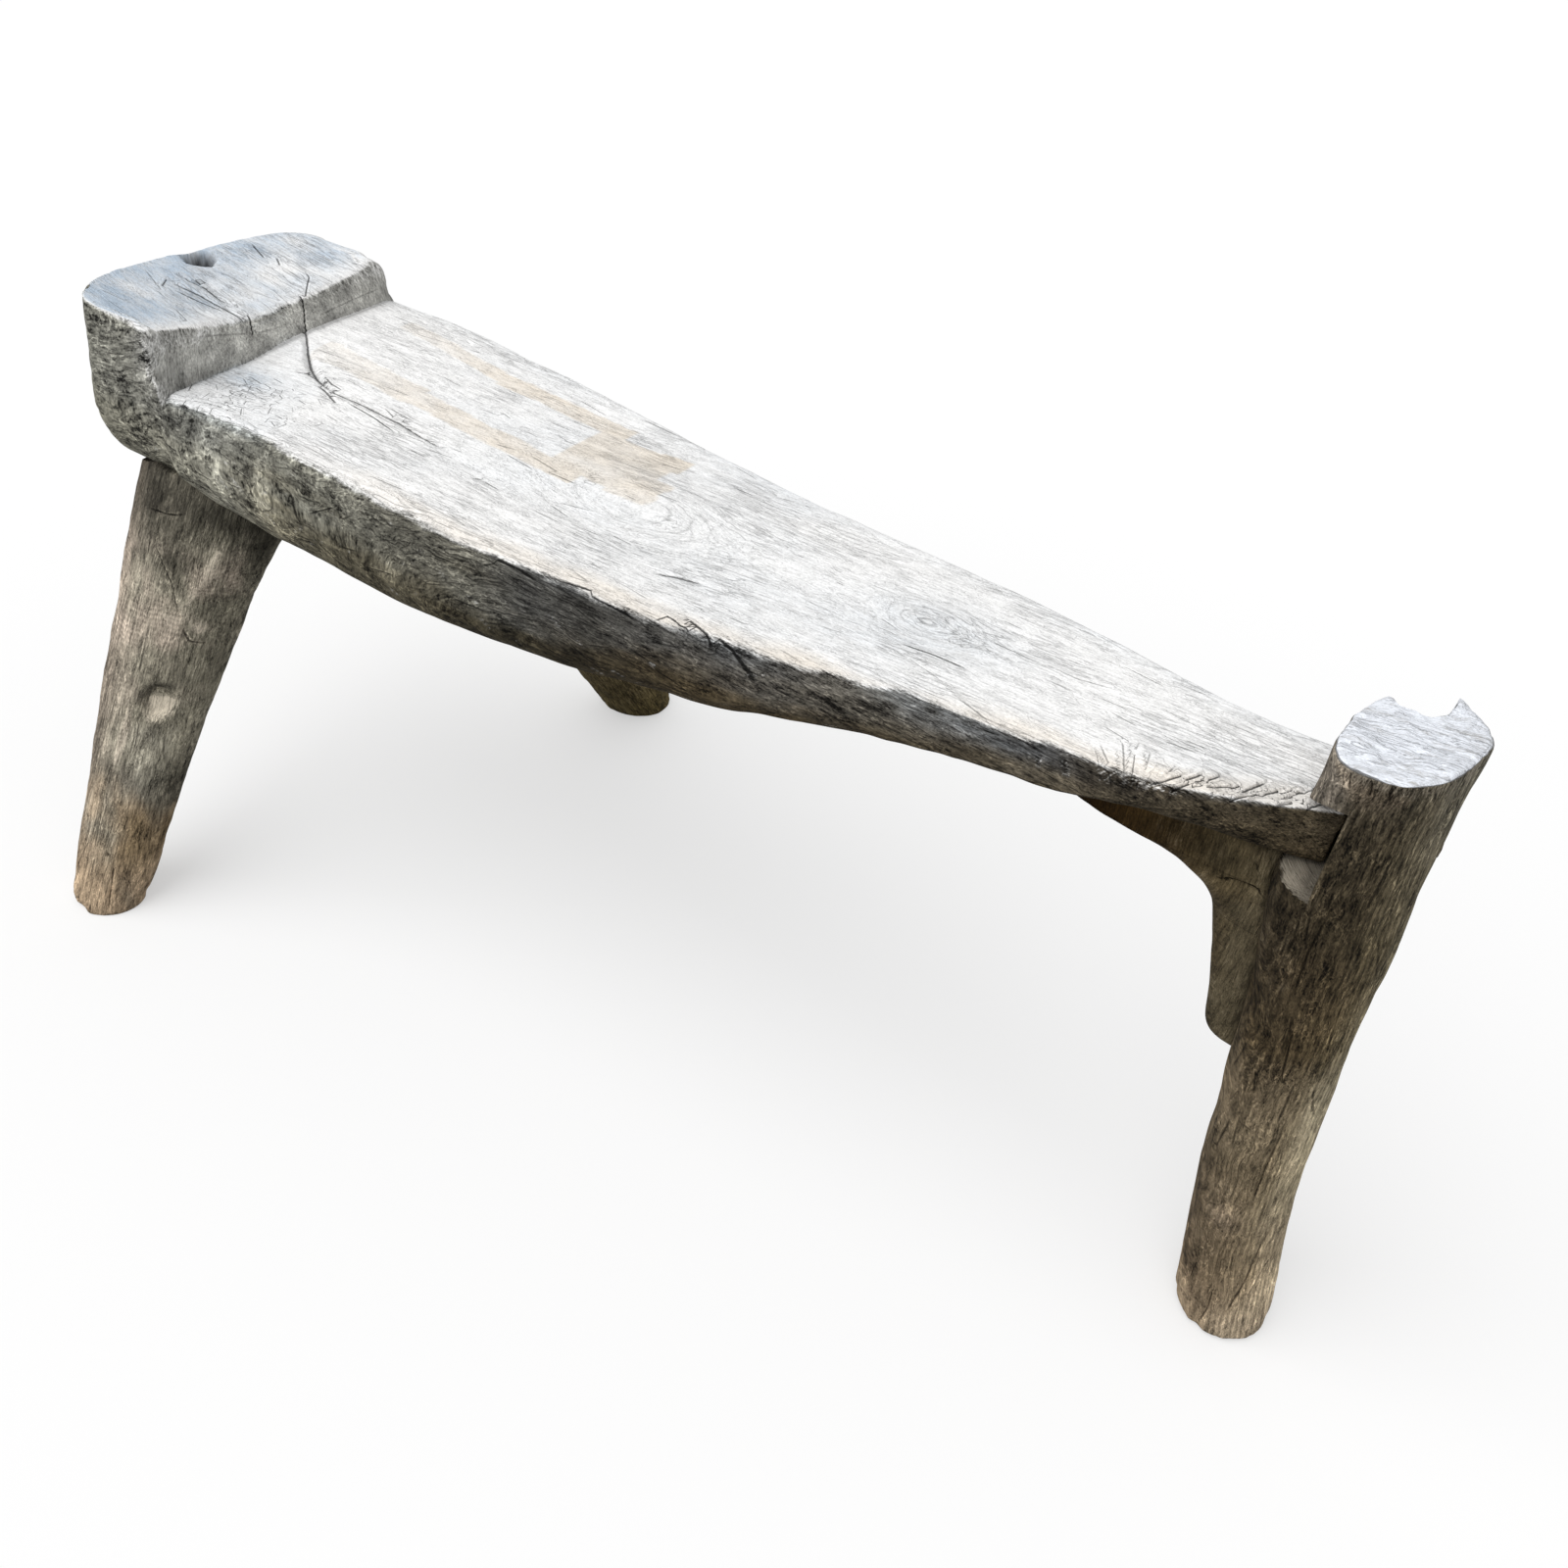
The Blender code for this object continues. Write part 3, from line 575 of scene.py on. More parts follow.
# Drying cracks of the top as (half-width of the line, depth of the hollow round it, path in X and Y)
CHECK_PATH = [
    (0.001, 0.017), (0.016, 0.003), (0.038, -0.016), (0.059, -0.0295), (0.075, -0.0365), (0.089, -0.041),
    (0.116, -0.040), (0.157, -0.0425), (0.215, -0.056),
]
HEAD_CHECK_PATH = [
    (-0.094, -0.036), (-0.083, -0.035), (-0.064, -0.030), (-0.041, -0.028), (-0.014, -0.028), (-0.006, -0.028)
]
HEAD_SPLIT_PATH = [(-0.097, -0.022), (-0.085, -0.021), (-0.073, -0.016), (-0.052, -0.019), (-0.036, -0.016)]
TOP_CRACKS = [
    (0.0012, 0.005, CHECK_PATH[:6]),
    (0.0010, 0.002, [(-0.016, 0.031), (-0.005, 0.023), (0.004, 0.0145), (0.022, -0.002)]),
    (0.0008, 0.003, CHECK_PATH[3:]),
    (0.0010, 0.002, [(0.037, -0.033), (0.046, -0.027), (0.060, -0.033)]),
    (0.0010, 0.002, [(0.066, -0.038), (0.080, -0.043), (0.105, -0.0545)]),
    (0.0008, 0.0, [(0.060, -0.024), (0.078, -0.033), (0.094, -0.036)]),
    (0.0008, 0.0, [(0.105, -0.047), (0.140, -0.052), (0.170, -0.060)]),
    (0.0010, 0.002, HEAD_CHECK_PATH),
    (0.0011, 0.003, HEAD_SPLIT_PATH),
    (0.0008, 0.0, [(-0.085, -0.050), (-0.094, -0.036)]),
    (0.0008, 0.0, [(-0.078, -0.044), (-0.055, -0.040), (-0.032, -0.034)]),
    (0.0008, 0.0, [(-0.085, -0.013), (-0.071, -0.012)]),
    (0.0009, 0.0, [(-0.108, 0.067), (-0.083, 0.058)]),
    (0.0009, 0.0, [(-0.079, 0.067), (-0.068, 0.060)]),
    (0.0008, 0.0, [(-0.050, 0.070), (-0.039, 0.064), (-0.021, 0.041), (-0.012, 0.031)]),
    (0.0011, 0.001, [(0.428, -0.093), (0.443, -0.086), (0.463, -0.082)]),
    (0.0009, 0.0, [(0.255, -0.075), (0.262, -0.070)]),
    (0.0009, 0.0, [(0.600, -0.058), (0.625, -0.055), (0.655, -0.056)]),
]
# Flakes lifting along the rounded front edge as (half-width of the line, path in X and Y)
EDGE_CRACKS = [
    (0.0006, [(0.459, -0.138), (0.463, -0.134), (0.466, -0.1295), (0.481, -0.132), (0.482, -0.137)]),
    (0.0008, [(0.473, -0.124), (0.495, -0.127), (0.502, -0.131), (0.501, -0.136)]),
    (0.0009, [(0.498, -0.125), (0.514, -0.1275), (0.528, -0.131), (0.548, -0.134)]),
    (0.0006, [(0.467, -0.1285), (0.478, -0.130), (0.487, -0.132)]),
    (0.0006, [(0.384, -0.140), (0.399, -0.138), (0.415, -0.136)]),
    (0.0006, [(0.330, -0.146), (0.352, -0.145), (0.372, -0.1455)]),
    (0.0006, [(0.405, -0.139), (0.428, -0.140), (0.452, -0.141)]),
    (0.0007, [(0.525, -0.133), (0.550, -0.137), (0.575, -0.138)]),
]
# Tool cuts at the narrow front edge as (width, depth, path in X and Y): two gouges, a fan and slashes
TOOL_CUTS = [
    (0.010, 0.006, [(0.737, -0.094), (0.747, -0.103), (0.758, -0.112)]),
    (0.007, 0.003, [(0.722, -0.098), (0.731, -0.108)]),
]
FAN_AT = (0.785, -0.098)


def struck(foot, heading, reaches, widths, depths):
    """A tool cut from a foot along a heading from +Y; its reach, width and depth are drawn by chance."""
    reach = scatter.uniform(*reaches) * np.array([math.sin(heading), math.cos(heading)])
    return scatter.uniform(*widths), scatter.uniform(*depths), [foot, foot + reach]


for turn in np.linspace(-0.7, 0.9, 42):
    foot = np.array(FAN_AT) + scatter.normal(0, (0.006, 0.005)) + (0.016 * turn, 0.0)
    heading = turn - 0.1 + scatter.normal(0, 0.05)
    TOOL_CUTS.append(struck(foot, heading, (0.008, 0.042), (0.0022, 0.0038), (0.0006, 0.0014)))
for at in np.linspace(0.790, 0.876, 38):
    foot = np.array([at, 0.005 - float(curve(FRONT_EDGE, at))]) + scatter.normal(0, 0.003, 2)
    heading = 0.66 + scatter.normal(0, 0.12)
    TOOL_CUTS.append(struck(foot, heading, (0.006, 0.030), (0.0032, 0.0055), (0.0013, 0.0028)))
dent = np.zeros_like(px)
dirt_and_shade = np.zeros_like(px)
seat_cracks = np.zeros((*px.shape, 3))
for half_width, depth, path in TOP_CRACKS:
    cut = groove(px, py, path, 0.010) * on_top
    dent = np.maximum(dent, cut * depth)
    dirt_and_shade = np.maximum(dirt_and_shade, cut * 80 * depth)
    hairline(seat_cracks, px, py, path, half_width, 0.85, on_top)
over_edge = ramp(0.0, 0.3, normal[..., 2])
for half_width, path in EDGE_CRACKS:
    hairline(seat_cracks, px, py, path, half_width, 1.0, over_edge)
fresh = np.zeros_like(px)
high_up = ramp(SEAT_HEIGHT - 0.022, SEAT_HEIGHT - 0.008, pz)
for width, depth, path in TOOL_CUTS:
    cut = groove(px, py, path, width) * high_up
    dent = np.maximum(dent, cut * depth)
    hairline(seat_cracks, px, py, path, 0.16 * width, min(0.95, 500 * depth), high_up)
    fresh = np.maximum(fresh, ramp(0.1, 0.4, cut) * ramp(0.9, 0.5, cut) * on_top)

# Cracks of the riser and the front as (width, depth, path in Y or X and in Z)
RISER_CRACKS = [
    (0.004, 0.004, [(-0.017, 0.492), (-0.022, 0.479), (-0.027, 0.467)]),
    (0.004, 0.004, [(0.042, 0.495), (0.034, 0.476), (0.024, 0.453)]),
    (0.003, 0.0012, [(-0.085, 0.484), (-0.060, 0.479), (-0.020, 0.470), (0.015, 0.468)]),
    (0.003, 0.0012, [(0.043, 0.467), (0.070, 0.469), (0.122, 0.472)]),
    (0.004, 0.002, [(-0.109, 0.4775), (-0.109, 0.4785)]),
]
on_riser = ramp(0.4, 0.7, normal[..., 0]) * ramp(0.03, 0.01, np.abs(px))
over_riser = ramp(0.15, 0.4, normal[..., 0]) * ramp(0.04, 0.03, np.abs(px))
for width, depth, path in RISER_CRACKS:
    cut = groove(py, pz, path, width) * on_riser
    dent = np.maximum(dent, 0.5 * cut * depth)
    hairline(seat_cracks, py, pz, path, 0.20 * width, min(1.0, 250 * depth), over_riser)
FRONT_CHIPS = [
    (0.008, 0.003, [(0.136, 0.392), (0.140, 0.402)]),
    (0.006, 0.002, [(0.460, 0.425), (0.468, 0.424)]),
    (0.009, 0.002, [(-0.020, 0.420), (-0.008, 0.428)]),
    (0.009, 0.002, [(0.060, 0.412), (0.078, 0.402)]),
]
for width, depth, path in FRONT_CHIPS:
    cut = groove(px, pz, path, width) * on_front
    dent = np.maximum(dent, cut * depth)
    fresh = np.maximum(fresh, cut * 0.8)

# Short checks scattered over the top and the front, along the grain, and scratches on the corner facet
checks(
    seat_cracks, px, py, 230, (-0.12, -0.13), (0.88, 0.11), on_top,
    lengths=(0.008, 0.036), lean=(-0.05, 0.14), half_widths=(0.0004, 0.0008), strengths=(0.15, 0.65),
)
for _ in range(110):
    start = scatter.normal((0.045, -0.088), (0.028, 0.022))
    heading = scatter.normal(-0.6, 0.5)
    reach = scatter.uniform(0.005, 0.016) * np.array([math.cos(heading), math.sin(heading)])
    strength = scatter.uniform(0.25, 0.85)
    hairline(seat_cracks, px, py, [start, start + reach], 0.0005, strength, on_top * seat_only)
on_side = ramp(0.6, 0.9, -normal[..., 1])
checks(
    seat_cracks, px, pz, 150, (-0.12, 0.36), (0.88, 0.455), on_side,
    lengths=(0.008, 0.034), lean=(0.0, 0.3), half_widths=(0.0004, 0.0007), strengths=(0.2, 0.8),
)
for _ in range(80):
    start = scatter.uniform((-0.13, 0.37), (0.60, 0.46))
    length = scatter.uniform(0.006, 0.018)
    cut = groove(px, pz, [start, start + (length, scatter.normal(0.0, 0.6) * length)], 0.0045) * on_side
    fresh = np.maximum(fresh, cut * scatter.uniform(0.2, 0.8))

# Hewn swells, adze scallops and raised fibres
swell = 0.0016 * rough(plank, (0.17, 0.07, 0.06), 11)
scallop = 0.0011 * rough(plank, (0.045, 0.030, 0.026), 17, 2) * (1 - 0.7 * on_top)
fibre = 0.00045 * rough(plank, (0.050, 0.006, 0.006), 23, 2)
plank = plank + normal * (swell + scallop + fibre - dent)[..., None]

# A knot has dropped out of the top edge of the head end
KNOT_AT = (-0.113, 0.015)
KNOT_RADIUS = 0.015
KNOT_DEPTH = 0.034
knot_away = np.hypot(px - KNOT_AT[0], (py - KNOT_AT[1]) * 0.9) + 0.002 * rough(plank, 0.012, 29)
knot = ramp(KNOT_RADIUS, 0.6 * KNOT_RADIUS, knot_away)
knot_floor = SEAT_HEIGHT + HEADREST_RISE - KNOT_DEPTH * knot
plank[..., 2] = np.where(knot > 0.01, np.minimum(plank[..., 2], knot_floor + 0.002), plank[..., 2])
# Painted shade: the knot's hollow is darkened
dirt_and_shade = np.maximum(dirt_and_shade, ramp(0.05, 0.45, knot))

# Growth rings: distance from the pith, which runs under the top and swells up at the eyes
PITH_DEPTH = 0.075
PITH_ASIDE = [(-0.15, 0.02), (0.25, -0.03), (0.60, -0.02), (0.90, 0.0)]
# Eyes as (X, Y, length, width, how far the rings rise)
EYES = [(0.365, -0.026, 0.075, 0.050, 0.034), (0.606, -0.021, 0.034, 0.024, 0.022)]
pith_y = curve(PITH_ASIDE, px)
rings = np.hypot(py - pith_y, pz - SEAT_HEIGHT + PITH_DEPTH) + 0.0025 * rough(plank, (0.12, 0.04, 0.04), 31)
drift = np.zeros_like(px)
rings_shown = np.full_like(px, 0.12)
for eye_x, eye_y, eye_length, eye_width, eye_rise in EYES:
    bulge = hump(px, eye_x, eye_length) * hump(py, eye_y, eye_width)
    rings = rings - eye_rise * bulge
    drift = drift + 0.5 * (py - eye_y) * bulge
    rings_shown = np.maximum(rings_shown, bulge)
rings_shown = rings_shown * (0.2 + 0.8 * ramp(0.37, 0.40, px))
side_turn = 0.8 * ramp(0.15, 0.40, px) * np.clip(py / 0.05, -1, 1)
seat_across = py - drift + side_turn * np.maximum(SEAT_HEIGHT - pz, 0)
seat_grain = np.stack([px, seat_across, rings], axis=-1)

# The wood's own colour: grey at the head, nearly black by the middle, browner towards the belly
HIGH_TINTS = [
    (-0.15, (0.225, 0.221, 0.184)), (-0.05, (0.246, 0.242, 0.210)), (0.0, (0.180, 0.178, 0.157)),
    (0.05, (0.285, 0.285, 0.255)), (0.10, (0.270, 0.266, 0.228)), (0.15, (0.235, 0.230, 0.192)),
    (0.24, (0.126, 0.121, 0.100)), (0.31, (0.125, 0.120, 0.099)), (0.36, (0.092, 0.090, 0.083)),
    (0.41, (0.060, 0.058, 0.052)), (0.47, (0.110, 0.106, 0.097)), (0.51, (0.090, 0.087, 0.081)),
    (0.57, (0.130, 0.118, 0.098)), (0.62, (0.085, 0.077, 0.062)), (0.66, (0.080, 0.073, 0.061)),
    (0.72, (0.044, 0.040, 0.035)), (0.87, (0.080, 0.064, 0.041)), (0.90, (0.130, 0.104, 0.067)),
]
LOW_TINTS = [
    (-0.15, (0.270, 0.260, 0.206)), (-0.03, (0.390, 0.376, 0.305)), (0.05, (0.350, 0.339, 0.280)),
    (0.11, (0.250, 0.229, 0.168)), (0.16, (0.155, 0.140, 0.099)), (0.23, (0.150, 0.133, 0.092)),
    (0.29, (0.106, 0.091, 0.059)), (0.35, (0.056, 0.048, 0.031)), (0.40, (0.048, 0.039, 0.024)),
    (0.46, (0.060, 0.047, 0.028)), (0.52, (0.100, 0.076, 0.043)), (0.57, (0.106, 0.079, 0.043)),
    (0.62, (0.090, 0.071, 0.043)), (0.72, (0.076, 0.065, 0.048)), (0.87, (0.084, 0.065, 0.039)),
    (0.90, (0.135, 0.104, 0.063)),
]
BELLY_TINT = (0.070, 0.054, 0.030)
RISER_TINT = (0.465, 0.46, 0.43)
drop_share = (SEAT_HEIGHT - pz) / (SEAT_HEIGHT - belly)
side_low = ramp(0.20, 0.65, drop_share + 0.22 * rough(plank, (0.08, 0.03, 0.02), 37))
low_share = ramp(0.75, 1.0, drop_share)
low_share = low_share * (0.25 + 0.6 * ramp(0.05, 0.30, px))
seat_tint = blended(tinted(HIGH_TINTS, px), tinted(LOW_TINTS, px), side_low)
seat_tint = blended(seat_tint, BELLY_TINT, low_share)
near_riser = ramp(-0.040, -0.008, px) * ramp(0.445, 0.475, pz) * ramp(0.012, 0.0, px)
riser_patches = 0.42 * rough(plank, (0.020, 0.020, 0.012), 63)
seat_tint = blended(seat_tint, RISER_TINT, np.maximum(on_riser, 0.75 * near_riser))
seat_tint = seat_tint * (1 + riser_patches * on_riser)[..., None]
seat_tint = with_rings(seat_tint, rings_shown)

# Bleaching of all that faces up, soot along the top of the front, painted shade in the crease at the riser's
# foot and on all that faces down
LEAST_UP = [
    (-0.04, 0.62), (0.0, 0.42), (0.04, 0.66), (0.10, 0.70), (0.14, 0.45), (0.30, 0.42), (0.55, 0.70),
    (0.62, 0.80), (0.70, 0.82), (0.80, 0.72), (0.90, 0.4),
]
least_up = curve(LEAST_UP, px)
turned = ramp(0.995, 0.95, normal[..., 2])
breaking_up = 0.10 - 0.05 * ramp(0.40, 0.55, px)
facing_up = normal[..., 2] + breaking_up * turned * rough(plank, (0.05, 0.018, 0.012), 41)
bleach = ramp(least_up, 0.96, facing_up) * (1 - on_riser)
bleach = np.maximum(bleach, 0.45 * on_riser * ramp(0.472, 0.488, pz))
corner_turn = np.sqrt(np.clip(-normal[..., 0] * normal[..., 1], 0, 1)) * np.sign(normal[..., 0])
worn_corner = ramp(0.25, 0.45, corner_turn)
worn_corner = worn_corner * ramp(0.03, 0.015, np.abs(px)) * ramp(0.40, 0.46, pz)
bleach = np.maximum(bleach, 0.50 * worn_corner * ramp(-0.7, 0.4, rough(plank, 0.012, 57)))
bleach = np.maximum(bleach, 0.45 * fresh)
SOOT = [
    (-0.02, 0.0), (0.05, 0.30), (0.11, 0.45), (0.15, 0.10),
    (0.30, 0.20), (0.47, 0.22), (0.75, 0.2), (0.90, 0.1),
]
soot_and_crease_shade = curve(SOOT, px) * on_front * ramp(0.38, 0.05, drop_share)
soot_and_crease_shade = soot_and_crease_shade * ramp(-0.4, 0.5, rough(plank, (0.05, 0.03, 0.02), 43))
# Painted shade: a dark line in the crease at the riser's foot
riser_foot = hump(px, RISER_AT + 0.003, 0.003) * ramp(0.47, 0.463, pz) * ramp(0.44, 0.455, pz)
soot_and_crease_shade = np.maximum(soot_and_crease_shade, 0.45 * riser_foot)
# Painted shade on all that faces down
under = ramp(0.1, -0.4, normal[..., 2])
dirt_and_shade = np.maximum(dirt_and_shade, np.maximum(soot_and_crease_shade, 0.35 * under))

# Old stains on the top as (start X and Y, end X and Y, half-width)
STAINS = [
    (0.030, 0.012, 0.130, -0.002, 0.015),
    (0.130, -0.004, 0.300, -0.022, 0.011),
    (0.050, 0.095, 0.175, 0.072, 0.008),
    (0.175, 0.072, 0.290, 0.064, 0.010),
    (0.288, 0.020, 0.345, 0.020, 0.038),
    (0.345, -0.004, 0.362, -0.004, 0.020),
    (0.345, 0.048, 0.352, 0.048, 0.012),
]
warmth = np.zeros_like(px)
for start_x, start_y, end_x, end_y, half_width in STAINS:
    along = np.array([end_x - start_x, end_y - start_y])
    t = np.clip(((px - start_x) * along[0] + (py - start_y) * along[1]) / (along @ along), 0, 1)
    along_off = np.abs(px - start_x - t * along[0]) / 0.010
    across_off = np.abs(py - start_y - t * along[1]) / half_width
    edge = np.maximum(along_off, across_off) + 0.12 * rough(plank, (0.03, 0.012, 0.02), 47)
    warmth = np.maximum(warmth, ramp(1.06, 0.94, edge))
warmth = warmth * (0.85 + 0.15 * rough(plank, (0.05, 0.02, 0.02), 49))
warmth = warmth * on_top * (0.35 + 0.65 * ramp(0.03, 0.20, px))
EDGE_BAND = [(0.12, 0.0), (0.25, 0.35), (0.55, 0.75), (0.78, 0.75), (0.90, 0.3)]
edge_band = curve(EDGE_BAND, px)
edge_band = edge_band * ramp(0.028, 0.010, py - front + 0.006 * rough(plank, (0.05, 0.02, 0.02), 53))
warmth = np.maximum(warmth, edge_band * ramp(0.3, 0.9, bleach))

# Bluish weathering: the headrest's top away from the riser, the facet before it, and clouds on the seat
head_cool = ramp(-0.004, -0.060, px) * ramp(-0.9, 0.5, rough(plank, (0.06, 0.05, 0.05), 59))
head_cool = head_cool * (0.75 + 0.25 * ramp(0.02, -0.09, py)) * ramp(0.88, 0.98, normal[..., 2])
zone_cool = ramp(-0.1, 0.9, rough(plank, (0.14, 0.06, 0.06), 61))
eye_cool = hump(px, 0.615, 0.060) * hump(py, -0.025, 0.035)
facet_patch = hump(px, 0.020, 0.022) * hump(py, -0.066, 0.014)
facet_cool = ramp(0.0, 0.02, from_crease) * ramp(-0.01, -0.06, py) * seat_only
back_cool = ramp(0.030, 0.0, back - py) * seat_only
coolness = 0.95 * head_cool + 0.12 * zone_cool + 0.25 * eye_cool
coolness = coolness + 0.12 * facet_cool + 0.10 * back_cool + 0.35 * facet_patch * seat_only
coolness = np.clip(coolness, 0, 1) * on_top * (1 - knot)

bleached_wood = weathered_wood(
    "bleached_wood", pale=(0.91, 0.906, 0.898), warm=(0.845, 0.765, 0.66), cool=(0.46, 0.54, 0.63), flecks=0.9
)
seat_wear = np.stack([bleach, dirt_and_shade, warmth, coolness], axis=-1)
seat_skin = (plank, seat_grain, seat_tint, seat_wear)
skin("seat_plank", *seat_skin, bleached_wood, "seat_slab", "bleached_wood", 0.7 * on_riser, seat_cracks)

# Front leg
# A straight round limb, thick at the top, splayed out to the front and tenoned up into the plank.
# Barked hardwood gone grey, with a dropped knot, rubbed pinkish ripples and a foot brown from wet ground.
LEG_TOP_RADIUS = 0.0625
LEG_FOOT_RADIUS = 0.032
LEG_TOP_AT = (-0.024, -0.074)
LEG_FOOT_AT = (-0.030, -0.246)
LEG_BEND = 0.0025
LEG_BEND_AT = 0.19
LEG_BEND_RADIUS = 0.0478
LEG_FLARE = 0.018
LEG_RISE = 0.030
LEG_SINK = 0.003
FOOT_ROUNDING = 0.004
POLE_UNEVENNESS = 0.02
POLE_TWIST = 9.0


def pole(heights, x_stops, y_stops, width_stops, depth_stops, columns):
    """Upright grid of level ovals, a little out of round, on a smooth spine; returns points and turn angles.

    Columns run clockwise from +X, so that rows going up give faces that point outwards.
    """
    z = heights[:, None]
    turn = -2 * math.pi * np.arange(columns)[None, :] / columns
    uneven = 1 + POLE_UNEVENNESS * np.cos(3 * turn + POLE_TWIST * z)
    x = curve(x_stops, z) + curve(width_stops, z) * np.cos(turn) * uneven
    y = curve(y_stops, z) + curve(depth_stops, z) * np.sin(turn) * uneven
    return np.stack([x, y, z + 0 * turn], axis=-1), turn


def drawn_together(points, shares, first):
    """Rows that close an end of a grid: its end row drawn towards its middle by each share."""
    end = points[0] if first else points[-1]
    middle = end.mean(axis=0)
    rows = middle + (end - middle) * np.asarray(shares)[:, None, None]
    return np.concatenate([rows, points]) if first else np.concatenate([points, rows])


def on_spine(points, x_stops, y_stops):
    """Middles of a pole at the heights of its points."""
    z = points[..., 2]
    return np.stack([curve(x_stops, z), curve(y_stops, z), z], axis=-1)


def straightened(points, x_stops, y_stops):
    """Grain of a pole: its length, its offset across, and its distance from the pith."""
    off_x, off_y, _ = np.moveaxis(points - on_spine(points, x_stops, y_stops), -1, 0)
    return np.stack([points[..., 2], off_x + 0.6 * off_y, np.hypot(off_x, off_y)], axis=-1)


def leaning(foot, top, top_z):
    """Stops of a straight spine from its foot on the floor through its top, carried on up into the plank."""
    rate = (top_z + LEG_RISE) / top_z
    return [(0.0, foot), (top_z + LEG_RISE, foot + rate * (top - foot))]


def leg_rows(top_z, count):
    """Heights of a leg's rows: close together round the foot, then even up into the plank."""
    foot = [0.0, 0.0006, 0.0018, FOOT_ROUNDING]
    return np.concatenate([foot, np.linspace(0.0065, top_z + LEG_RISE, count)])


def settled(points, heights):
    """A leg with its sole levelled on the floor and its top ended just inside the plank."""
    points[..., 2] = np.where(heights[:, None] < 0.001, 0.0, np.maximum(points[..., 2], 0.0))
    points[..., 2] = np.minimum(points[..., 2], belly_height(points[..., 0], points[..., 1]) + LEG_SINK)
    return points


def limb_relief(points, layers):
    """Swells and fibres drawn out upwards: rough layers as (height, size round, size up, seed, depth)."""
    return sum(
        height * rough(points, (size_round, size_round, size_up), seed, depth)
        for height, size_round, size_up, seed, depth in layers
    )


leg_top_z = float(SEAT_HEIGHT - curve(THICKNESS, np.array(0.0)))
leg_x = leaning(LEG_FOOT_AT[0], LEG_TOP_AT[0], leg_top_z)
leg_x.insert(1, (LEG_BEND_AT, LEG_FOOT_AT[0] + 0.5 * (LEG_TOP_AT[0] - LEG_FOOT_AT[0]) - LEG_BEND))
leg_y = leaning(LEG_FOOT_AT[1], LEG_TOP_AT[1], leg_top_z)
leg_radius = [(0.0, LEG_FOOT_RADIUS), (LEG_BEND_AT, LEG_BEND_RADIUS), (leg_top_z, LEG_TOP_RADIUS)]
leg_heights = leg_rows(leg_top_z, 190)
leg, turn = pole(leg_heights, leg_x, leg_y, leg_radius, leg_radius, 120)
splintered = 0.006 * ramp(0.016, 0.0, leg[..., 2]) * np.maximum(0, rough(leg, 0.018, 69))
foot_round = rounding(leg[..., 2], FOOT_ROUNDING) + splintered
spine = on_spine(leg, leg_x, leg_y)
leg = spine + (leg - spine) * (1 - foot_round / LEG_FOOT_RADIUS)[..., None]
leg[..., 0] += LEG_FLARE * ramp(0.24, 0.36, leg[..., 2]) * np.clip(np.cos(turn), 0, 1)

# The dropped knot with the brow over it and the trough below it, and the drying cracks in X and Z
leg_normal = outward(leg)
lx, _, lz = np.moveaxis(leg, -1, 0)
LEG_KNOT_AT = (0.002, 0.196)
LEG_KNOT_SIZE = (0.013, 0.017)
facing_front = ramp(0.1, 0.5, -leg_normal[..., 1])
knot_side = (lx - LEG_KNOT_AT[0]) / LEG_KNOT_SIZE[0]
knot_up = (lz - LEG_KNOT_AT[1]) / LEG_KNOT_SIZE[1]
knot_far = np.hypot(knot_side, knot_up)
dimple = ramp(1.25, 0.45, knot_far) * facing_front
brow = hump(knot_far, 1.35, 0.28) * facing_front
brow = brow * ramp(-0.2, 0.6, (lz - LEG_KNOT_AT[1]) / 0.02)
trough = hump(lx, LEG_KNOT_AT[0] - 0.004, 0.016) * facing_front
trough = trough * ramp(0.19, 0.16, lz) * ramp(0.10, 0.135, lz)
LEG_CRACKS = [
    (0.004, 0.003, [(-0.034, 0.350), (-0.010, 0.352), (0.006, 0.356)]),
    (0.004, 0.002, [(0.012, 0.262), (0.016, 0.250), (0.024, 0.244)]),
    (0.004, 0.002, [(-0.022, 0.330), (0.002, 0.300), (0.010, 0.272)]),
    (0.005, 0.005, [(-0.0165, 0.0560), (-0.0165, 0.0600)]),
    (0.004, 0.002, [(-0.030, 0.120), (-0.029, 0.060)]),
    (0.004, 0.002, [(-0.010, 0.050), (-0.009, 0.005)]),
]
# Painted shadow: a dark crescent under the knot's brow, on the upper left of its hollow
brow_shadow = hump(knot_far, 0.95, 0.26) * facing_front
brow_shadow = brow_shadow * ramp(0.05, 0.7, 0.8 * knot_up - 0.35 * knot_side)
leg_dent = 0.008 * dimple - 0.003 * brow + 0.0025 * trough
leg_cracks = np.zeros((*lx.shape, 3))
leg_dent = opened(leg_cracks, leg_dent, lx, lz, LEG_CRACKS, facing_front, line_share=0.15, strength=0.7)
checks(
    leg_cracks, lx, lz, 90, (-0.085, 0.01), (0.045, 0.34), facing_front, upright=True,
    lengths=(0.010, 0.040), lean=(0.1, 0.12), half_widths=(0.0004, 0.0007), strengths=(0.15, 0.6),
)
ridge = groove(lx, lz, [(0.032, 0.330), (0.024, 0.305), (0.014, 0.283)], 0.012) * facing_front
LEG_LAYERS = [(0.0015, 0.05, 0.12, 71, 3), (0.0007, 0.014, 0.04, 73, 2), (0.0005, 0.006, 0.05, 79, 2)]
leg = leg + leg_normal * (limb_relief(leg, LEG_LAYERS) + 0.002 * ridge - leg_dent)[..., None]
leg = settled(leg, leg_heights)
